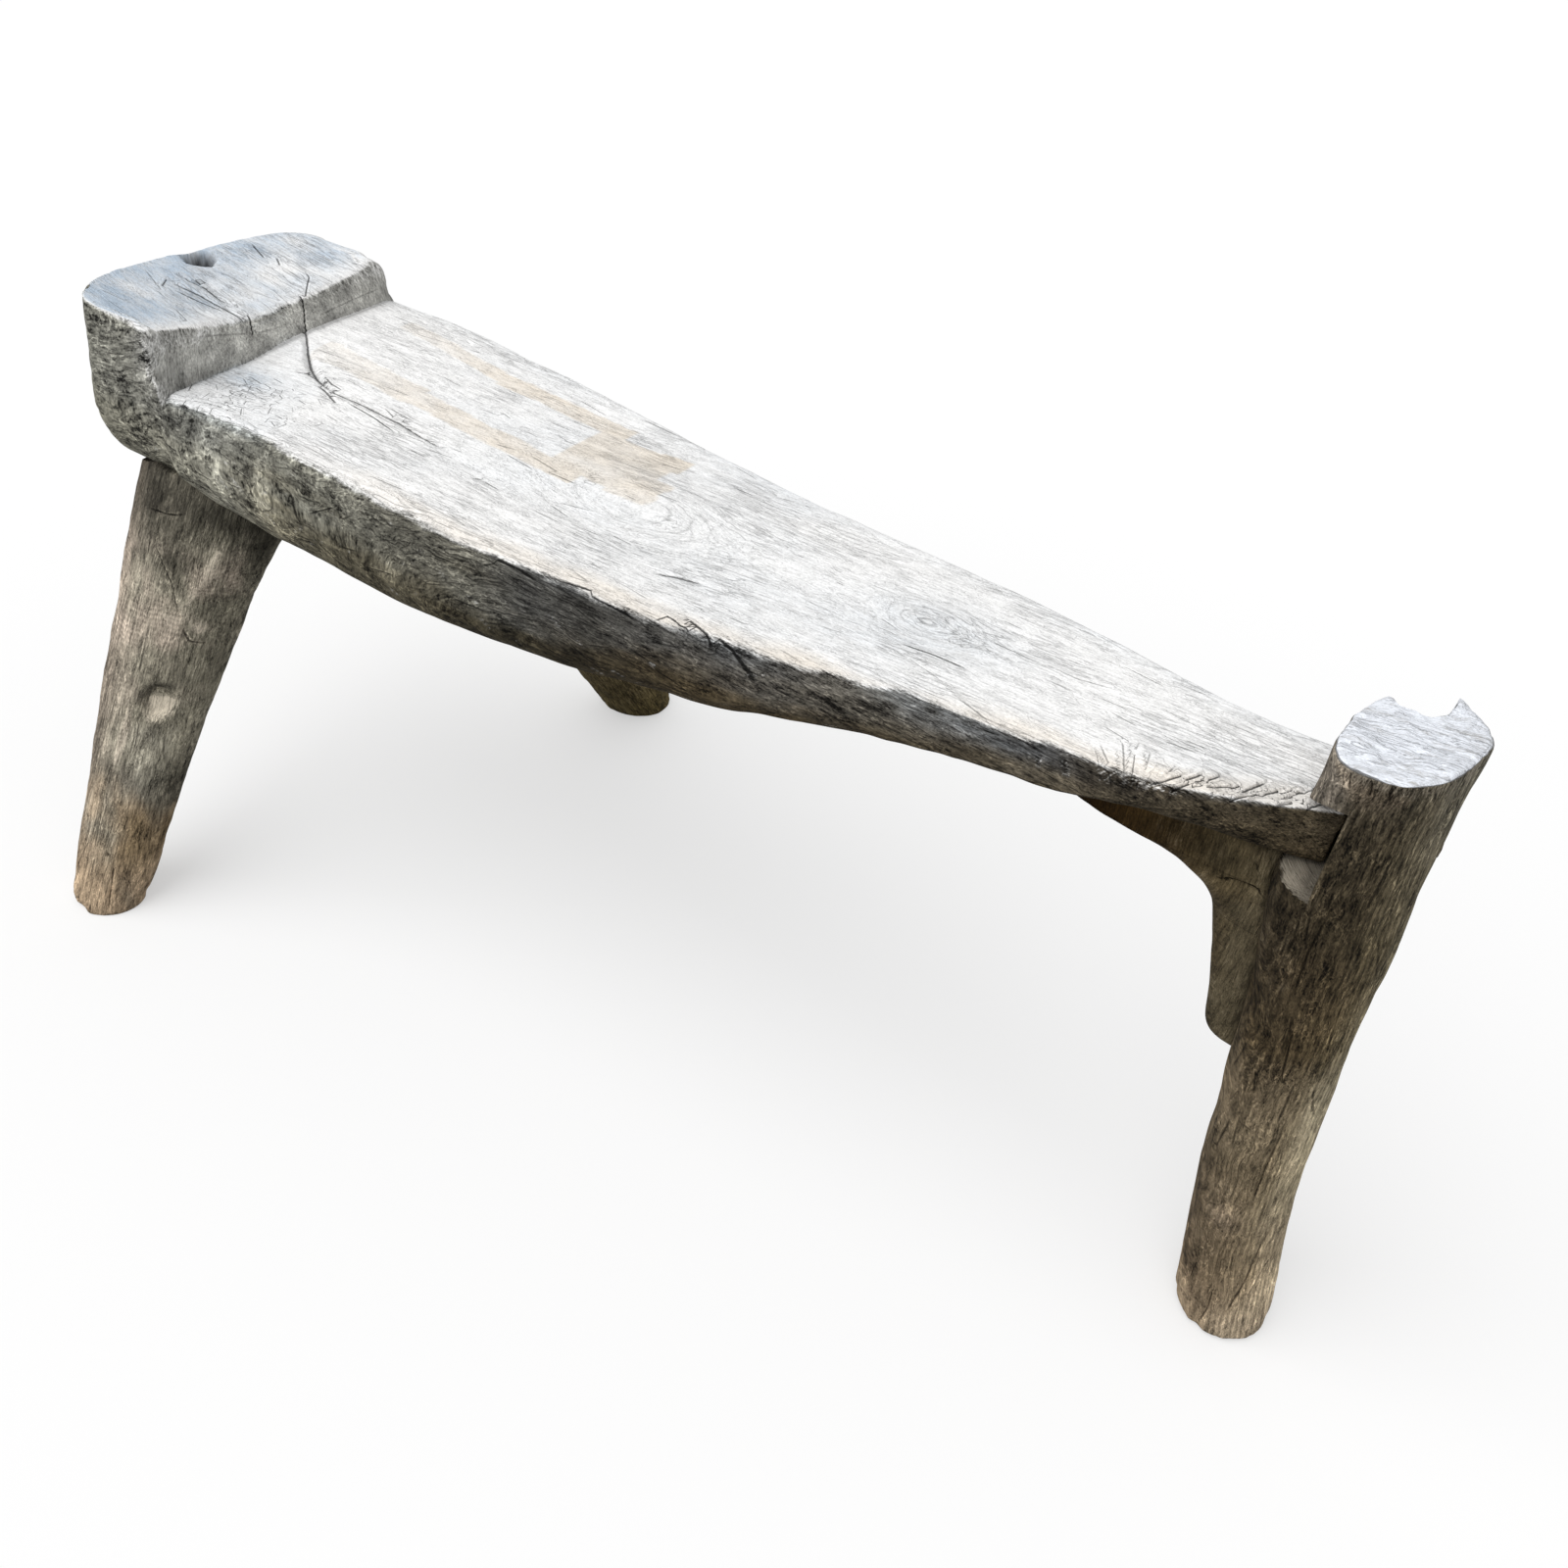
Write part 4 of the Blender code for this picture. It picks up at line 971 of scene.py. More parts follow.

# Colours and wear of the leg: pinkish where it is rubbed, brown and paler where the ground is wet; painted
# light and shade in the knot's hollow, on the sides and on the wet foot
pink = rough(leg, (0.04, 0.04, 0.05), 83) + 0.8 * ramp(0.010, -0.050, lx) - 0.05
pink = ramp(-0.1, 0.8, pink) * ramp(0.34, 0.29, lz)
pink = pink * (1 - 0.6 * ramp(0.25, 0.22, lz)) * ramp(0.09, 0.16, lz)
patch = groove(lx, lz, [(0.000, 0.272), (0.014, 0.258), (0.026, 0.248)], 0.034) * facing_front
patch = patch * ramp(-0.5, 0.4, rough(leg, 0.012, 87))
wet = ramp(0.105, 0.020, lz + 0.045 * rough(leg, (0.025, 0.025, 0.06), 89))
LEG_TINTS = [(-0.08, (0.250, 0.205, 0.160)), (-0.03, (0.215, 0.195, 0.153)), (0.03, (0.170, 0.157, 0.120))]
LEG_SHADES = [
    (0.09, 0.85), (0.12, 0.95), (0.16, 1.90), (0.20, 1.35),
    (0.24, 1.50), (0.28, 1.60), (0.32, 0.80), (0.36, 0.48),
]
LEG_WET_TINT = (0.44, 0.325, 0.215)
LEG_WET_SHADE = (0.20, 0.145, 0.080)
leg_tint = tinted(LEG_TINTS, lx) * curve(LEG_SHADES, lz)[..., None]
leg_tint = leg_tint * (1 + 0.40 * rough(leg, (0.030, 0.030, 0.045), 91))[..., None]
leg_shadow = 0.40 * ramp(0.60, 0.95, leg_normal[..., 0]) * ramp(0.22, 0.32, lz)
left_shadow = 0.60 * ramp(0.0, -0.4, leg_normal[..., 0])
left_shadow = left_shadow * ramp(0.24, 0.20, lz) * ramp(0.11, 0.15, lz)
leg_tint = leg_tint * (1 - leg_shadow - left_shadow)[..., None]
leg_tint = blended(leg_tint, LEG_WET_TINT, 0.85 * wet)
# Painted shade: the wet foot's right side, away from the light, is darker
wet_shade = 0.85 * wet * ramp(-0.030, 0.000, lx) * ramp(0.02, 0.07, lz)
leg_tint = blended(leg_tint, LEG_WET_SHADE, wet_shade)
leg_tint = with_rings(leg_tint, 0)
leg_bleach_and_light = 0.05 + 0.12 * rough(leg, (0.03, 0.03, 0.08), 97) + 0.40 * ridge + 0.8 * patch
# Painted light on the lower right of the knot's hollow
lit_knot = dimple * ramp(-0.7, 0.5, 0.5 * knot_side - 0.7 * knot_up + 0.5 * rough(leg, 0.008, 93))
leg_bleach_and_light = np.maximum(leg_bleach_and_light, lit_knot)
streak = groove(lx, lz, [(-0.018, 0.192), (-0.020, 0.170), (-0.024, 0.140)], 0.014) * facing_front
leg_bleach_and_light = np.maximum(leg_bleach_and_light, 0.5 * streak) * (1 - 0.7 * wet)
leg_warmth = np.maximum(0.75 * pink, np.maximum(0.5 * patch, 0.4 * streak))
# Darker towards the top, where the leg goes up into the plank
top_darkening = 0.45 * ramp(0.335, 0.356, lz) * ramp(-0.3, 0.4, rough(leg, 0.03, 101))
leg_darkening = np.maximum(0.75 * brow_shadow, top_darkening)
blue_trail = trough * ramp(0.185, 0.170, lz)
leg_wear = np.stack([leg_bleach_and_light, leg_darkening, leg_warmth, 0.12 * blue_trail], axis=-1)
leg_grain = straightened(leg, leg_x, leg_y)

END_SHARES = (0.1, 0.3, 0.5, 0.7, 0.9)
END_ROWS = len(END_SHARES)


def closed(points, grain, tint, wear):
    """Adds rows that close both ends of a pole, with the tint and the wear of its end rows."""
    even = (1.0,) * END_ROWS
    drawn = ((points, END_SHARES), (grain, END_SHARES), (tint, even), (wear, even))
    return [drawn_together(drawn_together(grid, shares, True), shares[::-1], False) for grid, shares in drawn]


def padded_rows(values, after=END_ROWS):
    """The same values with their first and last rows repeated for the rows that close the ends."""
    return np.concatenate([np.repeat(values[:1], END_ROWS, 0), values, np.repeat(values[-1:], after, 0)])


grey_wood = weathered_wood(
    "grey_wood",
    pale=(0.74, 0.66, 0.53),
    warm=(0.45, 0.375, 0.305),
    cool=(0.22, 0.235, 0.235),
    ripple=0.22,
    waves=0.08,
)
leg_skin = closed(leg, leg_grain, leg_tint, leg_wear)
skin("front_leg_limb", *leg_skin, grey_wood, "front_leg", "grey_wood", 0.3, padded_rows(leg_cracks))

# Back leg
# The front leg's fellow, splayed to the back and set further down the seat, of the same limb wood.
# Only its foot shows from the front, in shade, and it is tinted a darker brown than the front leg.
BACK_TOP_RADIUS = 0.049
BACK_FOOT_RADIUS = 0.039
BACK_TOP_AT = (0.120, 0.091)
BACK_FOOT_AT = (0.163, 0.310)
back_top_z = float(SEAT_HEIGHT - curve(THICKNESS, np.array(BACK_TOP_AT[0])))
back_x = leaning(BACK_FOOT_AT[0], BACK_TOP_AT[0], back_top_z)
back_y = leaning(BACK_FOOT_AT[1], BACK_TOP_AT[1], back_top_z)
back_radius = [(0.0, BACK_FOOT_RADIUS), (back_top_z, BACK_TOP_RADIUS)]
back_heights = leg_rows(back_top_z, 150)
back_leg, turn = pole(back_heights, back_x, back_y, back_radius, back_radius, 96)
foot_round = rounding(back_leg[..., 2], FOOT_ROUNDING)
spine = on_spine(back_leg, back_x, back_y)
back_leg = spine + (back_leg - spine) * (1 - foot_round / BACK_FOOT_RADIUS)[..., None]
back_normal = outward(back_leg)
BACK_LAYERS = [(0.0020, 0.05, 0.12, 103, 3), (0.0009, 0.014, 0.04, 107, 2), (0.0005, 0.006, 0.05, 109, 2)]
back_leg = settled(back_leg + back_normal * limb_relief(back_leg, BACK_LAYERS)[..., None], back_heights)
height = back_leg[..., 2]
BACK_TINTS = [(0.0, (0.100, 0.078, 0.034)), (0.10, (0.090, 0.070, 0.035)), (0.35, (0.110, 0.092, 0.062))]
back_bleach = 0.06 + 0.10 * rough(back_leg, (0.04, 0.04, 0.10), 113)
# Darker towards the top, where the leg goes up into the plank
back_top_darkening = 0.4 * ramp(0.33, 0.36, height)
back_tint = with_rings(tinted(BACK_TINTS, height), 0)
back_wear = np.stack([back_bleach, back_top_darkening, 0 * height, 0 * height], axis=-1)
back_grain = straightened(back_leg, back_x, back_y)
brown_wood = weathered_wood(
    "brown_wood", pale=(0.30, 0.265, 0.205), warm=(0.30, 0.235, 0.165), cool=(0.2, 0.2, 0.2)
)
back_skin = closed(back_leg, back_grain, back_tint, back_wear)
skin("back_leg_limb", *back_skin, brown_wood, "back_leg", "brown_wood")

# Foot post
# A leaning oval pole, notched to grip the seat's end between a lip above and a ledge below, top worn hollow.
# Heavy dark hardwood, its sawn top bleached bluish and its foot rubbed tan; two pegs pin it to seat and knee.
POST_TOP = (0.916, -0.022, 0.515)
POST_FOOT = (0.971, -0.044, 0.0)
POST_WIDTHS = [
    (0.0, 0.0358), (0.08, 0.0350), (0.2575, 0.0357), (0.36, 0.0382), (0.43, 0.0380), (0.515, 0.0375)
]
POST_DEPTHS = [(0.0, 0.0410), (0.2575, 0.0520), (0.43, 0.0545), (0.515, 0.0610)]
POST_SQUARENESS = 3.4
POST_SKEW = 0.10
POST_TILT = (0.11, -0.085)
POST_FOOT_ROUNDING = 0.007
POST_RIM_ROUNDING = 0.004
SCOOP_RADIUS = 0.019
SCOOP_DEPTH = 0.030
SCOOP_DROP = 0.050
SCOOP_ASIDE = 0.005
HOUSING_GAP = 0.0006
LEDGE_RUN = 0.0008
HOUSING_REACH = 0.050
LIP_FLARE = 0.62
LEDGE_SWELL = 0.005
LEDGE_SWELL_AT = 0.41
LEDGE_SWELL_REACH = 0.05
post_x = [
    (0.0, POST_FOOT[0]), (0.13, 0.9467), (0.2575, 0.9345), (0.36, 0.9240), (0.43, 0.9178),
    (POST_TOP[2], POST_TOP[0]),
]
post_y = [
    (0.0, POST_FOOT[1]),
    (POST_TOP[2] / 2, (POST_TOP[1] + POST_FOOT[1]) / 2),
    (0.43, POST_TOP[1] - 0.001),
    (POST_TOP[2], POST_TOP[1]),
]


def ledge_swell(z):
    """How far the pole swells towards the seat by the ledge."""
    return LEDGE_SWELL * hump(z, LEDGE_SWELL_AT, LEDGE_SWELL_REACH)


def front_power(z):
    """Squareness of the pole's front corner by the seat: round below, squared up towards the ledge."""
    return 2 + (POST_SQUARENESS - 2) * ramp(0.30, 0.38, z)


def squared_out(across, ahead, power):
    """How many times further out than a round a squarish round reaches in a direction."""
    return np.hypot(across, ahead) / (np.abs(across) ** power + np.abs(ahead) ** power) ** (1 / power)


ledge_z = SEAT_HEIGHT - THICKNESS[-1][1] - HOUSING_GAP
lip_z = SEAT_HEIGHT + HOUSING_GAP
post_heights = np.concatenate(
    [
        POST_FOOT_ROUNDING * (1 - np.cos(np.linspace(0, math.pi / 2, 7))),
        np.linspace(0.0095, ledge_z - LEDGE_RUN, 165),
        np.linspace(ledge_z - LEDGE_RUN, ledge_z, 12)[1:],
        np.linspace(ledge_z, lip_z, 22)[1:],
        np.linspace(lip_z, lip_z + LEDGE_RUN, 10)[1:],
        np.linspace(lip_z + LEDGE_RUN, POST_TOP[2] - POST_RIM_ROUNDING, 24)[1:],
        POST_TOP[2] - POST_RIM_ROUNDING * (1 - np.sin(np.linspace(0, math.pi / 2, 6)[1:])),
    ]
)
post, turn = pole(post_heights, post_x, post_y, POST_WIDTHS, POST_DEPTHS, 150)
qz = post[..., 2]
spine = on_spine(post, post_x, post_y)
drawn = rounding(qz, POST_FOOT_ROUNDING) + rounding(POST_TOP[2] - qz, POST_RIM_ROUNDING)
post = spine + (post - spine) * (1 - drawn / POST_WIDTHS[-1][1])[..., None]
across = (post[..., 0] - spine[..., 0]) / curve(POST_WIDTHS, qz)
ahead = (post[..., 1] - spine[..., 1]) / curve(POST_DEPTHS, qz)
post[..., 0] -= ledge_swell(qz) * np.clip(-across, 0, 1)
front_grown = squared_out(across, ahead, front_power(qz))
back_grown = squared_out(across, ahead, 2 + 0.8 * ramp(0.46, 0.51, qz))
grown = np.where((across > 0) & (ahead > 0), back_grown, 1.0)
grown = np.where((across < 0) & (ahead < 0), front_grown, grown)
post[..., :2] = spine[..., :2] + (post[..., :2] - spine[..., :2]) * grown[..., None]
post[..., 0] += POST_SKEW * (post[..., 1] - spine[..., 1]) * ramp(0.38, POST_TOP[2], qz)
post_normal = outward(post)
qx, _, qz = np.moveaxis(post, -1, 0)
toward_front = ramp(0.0, 0.4, -post_normal[..., 1])
POST_CRACKS = [
    (0.004, 0.004, [(0.903, 0.512), (0.905, 0.502), (0.906, 0.490)]),
    (0.004, 0.002, [(0.890, 0.512), (0.894, 0.495)]),
    (0.004, 0.002, [(0.915, 0.512), (0.917, 0.498)]),
    (0.004, 0.002, [(0.925, 0.330), (0.930, 0.300), (0.935, 0.268)]),
    (0.004, 0.002, [(0.950, 0.240), (0.952, 0.190), (0.955, 0.150)]),
    (0.005, 0.002, [(0.975, 0.130), (0.976, 0.080), (0.975, 0.030)]),
    (0.004, 0.002, [(0.958, 0.060), (0.962, 0.030), (0.961, 0.006)]),
    (0.005, 0.002, [(0.915, 0.420), (0.914, 0.380), (0.918, 0.340)]),
]
post_cracks = np.zeros((*qx.shape, 3))
post_dent = np.zeros_like(qx)
post_dent = opened(post_cracks, post_dent, qx, qz, POST_CRACKS, toward_front, line_share=0.15, strength=0.7)
checks(
    post_cracks, qx, qz, 130, (0.880, 0.01), (0.995, 0.50), toward_front, upright=True,
    lengths=(0.010, 0.045), lean=(-0.08, 0.10), half_widths=(0.0004, 0.0007), strengths=(0.2, 0.7),
)
POST_KNOT_AT = (0.943, 0.132)
post_knot = hump(qx, POST_KNOT_AT[0], 0.010) * hump(qz, POST_KNOT_AT[1], 0.012) * toward_front
POST_LAYERS = [(0.0024, 0.06, 0.13, 131, 3), (0.0012, 0.015, 0.05, 137, 2), (0.0006, 0.006, 0.05, 139, 2)]
post = post + post_normal * (limb_relief(post, POST_LAYERS) + 0.0015 * post_knot - post_dent)[..., None]
post[..., 2] = np.clip(np.where(post_heights[:, None] == 0, 0.0, post[..., 2]), 0.0, None)

# The housing cut back to its wall, and the hollow worn into the back of the top
row_z = post_heights[:, None]
wall = SEAT_LENGTH + HOUSING_GAP
wall_line = np.interp(
    row_z,
    [ledge_z - LEDGE_RUN, ledge_z, lip_z, lip_z + LEDGE_RUN],
    [wall - HOUSING_REACH, wall, wall, wall - HOUSING_REACH],
    left=-1.0,
    right=-1.0,
)
cut_away = ramp(0.0, 0.001, wall_line - post[..., 0])
post[..., 2] = np.where(cut_away > 0, row_z, post[..., 2])
chisel = 0.0007 * rough(post, (0.012, 0.03, 0.03), 149)
post[..., 0] = np.maximum(post[..., 0], wall_line + np.maximum(chisel, 0))
on_ledge = cut_away * ramp(0.004, 0.001, np.abs(row_z - ledge_z))
past_seat = np.maximum(0, -FRONT_EDGE[-1][1] - post[..., 1])
lip_share = ramp(ledge_z, lip_z, row_z) * ramp(POST_TOP[2] - POST_RIM_ROUNDING, lip_z, row_z)
post[..., 2] += LIP_FLARE * past_seat * lip_share


def hollowed(points):
    """Cuts the hollow: a round groove down the back of the top that grows shallower below the rim."""
    depth = SCOOP_DEPTH * ramp(POST_TOP[2] - SCOOP_DROP, POST_TOP[2], points[..., 2])
    back_rim = POST_TOP[1] + curve(POST_DEPTHS, points[..., 2])
    centre = back_rim + SCOOP_RADIUS - depth
    off = np.clip(np.abs(points[..., 0] - POST_TOP[0] + SCOOP_ASIDE) / SCOOP_RADIUS, 0, 1)
    line = centre - SCOOP_RADIUS * np.sqrt(1 - off**2)
    points = points.copy()
    points[..., 1] = np.where(off < 1, np.minimum(points[..., 1], line), points[..., 1])
    return points


TOP_RIM_ROWS = 4
top_shares = np.linspace(0.97, 0.04, 26)
post = drawn_together(drawn_together(post, END_SHARES, True), top_shares, False)
post = hollowed(post)
cap_rows = len(top_shares)
top_face = np.zeros(post.shape[:2])
top_face[-cap_rows - TOP_RIM_ROWS :] = 1.0
TOP_LAYERS = [(0.0011, 0.010, 0.010, 151, 3), (0.0016, 0.04, 0.04, 157, 2)]
post[..., 2] += limb_relief(post, TOP_LAYERS) * top_face
HORN_AT = (0.930, 0.036)
HORN_RADIUS = 0.008
HORN_HEIGHT = 0.006
horn = hump(post[..., 0], HORN_AT[0], HORN_RADIUS) * hump(post[..., 1], HORN_AT[1], HORN_RADIUS)
post[..., 2] += HORN_HEIGHT * horn * ramp(POST_TOP[2] - 0.02, POST_TOP[2], post[..., 2])
near_top = ramp(lip_z + 0.010, POST_TOP[2], post[..., 2])
tilt = POST_TILT[0] * (post[..., 0] - POST_TOP[0]) + POST_TILT[1] * (post[..., 1] - POST_TOP[1])
post[..., 2] += tilt * near_top

# Colours and wear of the post: dark above, tan at the foot, painted lighter towards the camera's right and
# darker towards its left as light and shade, bluish on top
post_knot = padded_rows(post_knot, cap_rows)
post_cracks = padded_rows(post_cracks, cap_rows)
on_ledge = padded_rows(on_ledge, cap_rows)
qx, qy, qz = np.moveaxis(post, -1, 0)
rim = ramp(0.012, 0.0, POST_TOP[2] - qz) * (1 - top_face)
POST_TINTS = [
    (0.0, (0.300, 0.230, 0.155)), (0.05, (0.250, 0.190, 0.125)), (0.09, (0.225, 0.180, 0.124)),
    (0.13, (0.240, 0.195, 0.135)), (0.18, (0.215, 0.178, 0.122)), (0.22, (0.300, 0.250, 0.175)),
    (0.27, (0.245, 0.202, 0.138)), (0.31, (0.133, 0.104, 0.062)), (0.36, (0.102, 0.081, 0.050)),
    (0.41, (0.082, 0.068, 0.044)), (0.45, (0.096, 0.081, 0.055)), (0.515, (0.104, 0.093, 0.072)),
]
POST_LIP_TINT = (0.165, 0.142, 0.116)
POST_FOOT_TINT = (0.46, 0.370, 0.260)
POST_GREEN_TINT = (0.075, 0.070, 0.050)
lip_side = ramp(0.905, 0.885, qx) * ramp(0.455, 0.47, qz)
post_tint = tinted(POST_TINTS, qz + 0.03 * rough(post, (0.04, 0.04, 0.08), 159))
post_tint = blended(post_tint, POST_LIP_TINT, 0.8 * lip_side)
rubbed_foot = ramp(0.10, 0.04, qz) * ramp(0.955, 0.985, qx)
post_tint = blended(post_tint, POST_FOOT_TINT, 0.8 * rubbed_foot)
right_green = ramp(0.93, 0.97, qx + 0.1 * (0.25 - qz)) * ramp(0.18, 0.30, qz)
post_tint = blended(post_tint, POST_GREEN_TINT, 0.5 * right_green)
# Painted light and shade across the post: darker towards the camera's left, lighter towards its right
LIGHTER_SIDE = (0.906, 0.423)
POST_HALF_WIDTH = 0.036
to_right = LIGHTER_SIDE[0] * (qx - curve(post_x, qz)) + LIGHTER_SIDE[1] * (qy - curve(post_y, qz))
to_right = to_right / POST_HALF_WIDTH
SIDE_LIGHT_SHARES = [
    (-1.0, (0.46, 0.43, 0.40)), (-0.3, (0.72, 0.68, 0.62)), (0.1, (1.09, 1.06, 0.98)),
    (0.4, (1.60, 1.60, 1.55)), (0.9, (1.75, 1.80, 1.75)),
]
side_light_and_shade = tinted(SIDE_LIGHT_SHARES, to_right + 0.3 * rough(post, (0.03, 0.03, 0.10), 165))
post_tint = post_tint * (1 + (side_light_and_shade - 1) * (ramp(0.01, 0.08, qz) * (1 - lip_side))[..., None])
post_tint = with_rings(post_tint, 0.8 * post_knot)
post_bleach = 0.05 + 0.10 * rough(post, (0.03, 0.03, 0.09), 163) + 0.30 * rim + 0.75 * on_ledge
split = groove(qx, qz, [(0.884, 0.510), (0.905, 0.502), (0.925, 0.508)], 0.030) * ramp(0.47, 0.50, qz)
split = split * ramp(-0.04, -0.07, qy)
# Painted shadow on the ledge, darker towards the housing's wall
ledge_wall_shadow = 0.55 * on_ledge * ramp(0.884, 0.900, qx)
post_bleach = np.maximum(post_bleach, 0.15 * split)
post_warmth = np.maximum(0.22 * split, 0.4 * post_knot) * (1 - top_face)
post_wear = np.stack([post_bleach, ledge_wall_shadow, post_warmth, 0 * qz], axis=-1)
top_darkening = 0.15 * ramp(0.2, 0.8, rough(post, 0.02, 161))
top_wear = np.stack([1 + 0 * qz, top_darkening, 0 * qz, 1 + 0 * qz], axis=-1)
post_wear = np.where(top_face[..., None] > 0, top_wear, post_wear)
post_grain = np.where(top_face[..., None] > 0, post, straightened(post, post_x, post_y))

dark_wood = weathered_wood(
    "dark_wood",
    pale=(0.34, 0.30, 0.24),
    warm=(0.36, 0.28, 0.20),
    cool=(0.79, 0.82, 0.875),
    curl=0.009,
    flecks=1.2,
    waves=0.20,
)
post_calm = 0.4 * ramp(0.34, 0.20, qz)
post_cracks = post_cracks * (1 - top_face[..., None])
post_skin = (post, post_grain, post_tint, post_wear)
skin("foot_post_pole", *post_skin, dark_wood, "foot_post", "brown_wood", post_calm, post_cracks)

# Knee
# A grown crook fitted into the corner under the seat's end: one arm tenoned up into the plank, the other
# down along the post and pegged to it. Close-grained brown wood, rubbed smooth.
KNEE_DROP = 0.174
KNEE_STEM_WIDTH = 0.0445
KNEE_END_WIDTH = 0.0315
KNEE_ARM_REACH = 0.115
KNEE_THROAT_HEIGHT = 0.043
KNEE_ARM_THICKNESS = 0.026
KNEE_STEM_HALF_DEPTH = 0.034
KNEE_ARM_HALF_DEPTH = 0.040
KNEE_ASIDE = 0.006
KNEE_END_ROUNDING = 0.010
KNEE_SQUARENESS = 2.6
KNEE_GAP = 0.0006
KNEE_GAPE = 0.0015
knee_y = -SEAT_PEG_ASIDE - KNEE_ASIDE
knee_high = SEAT_HEIGHT - THICKNESS[-1][1]
knee_low = knee_high - KNEE_DROP
throat_low = knee_high - KNEE_ARM_THICKNESS - KNEE_THROAT_HEIGHT


def post_face(y, z):
    """X of the pole's side towards the seat."""
    share = (y - curve(post_y, z)) / curve(POST_DEPTHS, z)
    power = np.where(share < 0, front_power(z), 2.0)
    widest = curve(POST_WIDTHS, z) + ledge_swell(z)
    reach = widest * np.clip(1 - np.abs(share) ** power, 0, 1) ** (1 / power)
    return curve(post_x, z) - reach


knee_heights = np.concatenate(
    [
        knee_low + KNEE_END_ROUNDING * (1 - np.cos(np.linspace(0.12, math.pi / 2, 10))),
        np.linspace(knee_low + KNEE_END_ROUNDING, throat_low, 45)[1:],
        throat_low + KNEE_THROAT_HEIGHT * np.sin(np.linspace(0, math.pi / 2, 50))[1:],
        np.linspace(knee_high - KNEE_ARM_THICKNESS, knee_high + 0.014, 16)[1:],
    ]
)
kz = knee_heights[:, None]
flare = np.clip((kz - throat_low) / KNEE_THROAT_HEIGHT, 0, 1)
drawn = rounding(kz - knee_low, KNEE_END_ROUNDING)
taper = np.clip((kz - knee_low) / (throat_low - knee_low), 0, 1)
left = post_face(knee_y, kz) - KNEE_END_WIDTH - (KNEE_STEM_WIDTH - KNEE_END_WIDTH) * taper + drawn
left = left - KNEE_ARM_REACH * (1 - np.sqrt(1 - flare**2))
right = curve(post_x, kz)
depth = KNEE_STEM_HALF_DEPTH + (KNEE_ARM_HALF_DEPTH - KNEE_STEM_HALF_DEPTH) * flare - drawn
turn = -2 * math.pi * np.arange(130)[None, :] / 130
lengthwise = np.sign(np.cos(turn)) * np.abs(np.cos(turn)) ** (2 / KNEE_SQUARENESS)
sideways = np.sign(np.sin(turn)) * np.abs(np.sin(turn)) ** (2 / KNEE_SQUARENESS)
knee_x = (left + right) / 2 + (right - left) / 2 * lengthwise
knee = np.stack([knee_x, knee_y + depth * sideways, kz + 0 * turn], axis=-1)
knee_normal = outward(knee)
kx, ky, kz = np.moveaxis(knee, -1, 0)
knee_front = ramp(0.2, 0.5, -knee_normal[..., 1])
KNEE_CRACKS = [
    (0.004, 0.004, [(0.842, 0.379), (0.856, 0.385), (0.868, 0.386), (0.878, 0.380)]),
    (0.006, 0.005, [(0.868, 0.386), (0.873, 0.383)]),
    (0.005, 0.003, [(0.864, 0.404), (0.867, 0.397)]),
    (0.003, 0.001, [(0.848, 0.345), (0.868, 0.346), (0.886, 0.346)]),
    (0.003, 0.001, [(0.852, 0.320), (0.872, 0.322)]),
]
knee_cracks = np.zeros((*kx.shape, 3))
knee_dent = np.zeros_like(kx)
knee_dent = opened(
    knee_cracks, knee_dent, kx, kz, KNEE_CRACKS, knee_front, line_share=0.18, strength=0.9, per_depth=250
)
KNEE_LAYERS = [(0.0018, 0.05, 0.06, 173, 3), (0.0004, 0.012, 0.020, 179, 2)]
knee = knee + knee_normal * (limb_relief(knee, KNEE_LAYERS) - knee_dent)[..., None]
gape = KNEE_GAP + KNEE_GAPE * ramp(knee_low + 0.045, knee_low, knee[..., 2])
knee[..., 0] = np.minimum(knee[..., 0], post_face(knee[..., 1], knee[..., 2]) - gape)
knee[..., 2] = np.minimum(knee[..., 2], belly_height(knee[..., 0], knee[..., 1]) + LEG_SINK)
KNEE_TINTS = [(0.76, (0.034, 0.018, 0.005)), (0.83, (0.066, 0.044, 0.018)), (0.87, (0.108, 0.087, 0.053))]
knee_tint = tinted(KNEE_TINTS, kx + 0.012 * rough(knee, (0.03, 0.03, 0.03), 177))
KNEE_CROOK_TINT = (0.085, 0.067, 0.037)
in_crook = ramp(0.365, 0.395, kz) * ramp(0.80, 0.85, kx)
knee_tint = blended(knee_tint, KNEE_CROOK_TINT, 0.7 * in_crook)
knee_tint = knee_tint * (1 + 0.45 * rough(knee, (0.030, 0.030, 0.022), 183))[..., None]
knee_tint = knee_tint * (1 - 0.22 * ramp(0.345, 0.320, kz))[..., None]
knee_tint = with_rings(knee_tint, 0)
knee_bleach = 0.05 + 0.08 * rough(knee, (0.03, 0.03, 0.04), 181)
# Painted shade along the knee's contacts with the post and the seat, with darker blotches
post_contact_shade = ramp(0.008, 0.001, post_face(ky, kz) - kx)
seat_contact_shade = ramp(0.012, 0.001, belly_height(kx, ky) - kz)
knee_patches = ramp(0.1, 0.8, rough(knee, (0.025, 0.025, 0.03), 191))
knee_blotches_and_shade = np.maximum(np.maximum(0.55 * seat_contact_shade, 0.7 * post_contact_shade), 0.30 * knee_patches)
knee_wear = np.stack([knee_bleach, knee_blotches_and_shade, 0 * kx, 0 * kx], axis=-1)
knee_grain = np.stack([kz, kx + 0.6 * ky, np.hypot(kx - right, ky - knee_y)], axis=-1)
olive_wood = weathered_wood(
    "olive_wood", pale=(0.34, 0.30, 0.235), warm=(0.30, 0.235, 0.165), cool=(0.2, 0.2, 0.2), flecks=0.3
)
knee_skin = closed(knee, knee_grain, knee_tint, knee_wear)
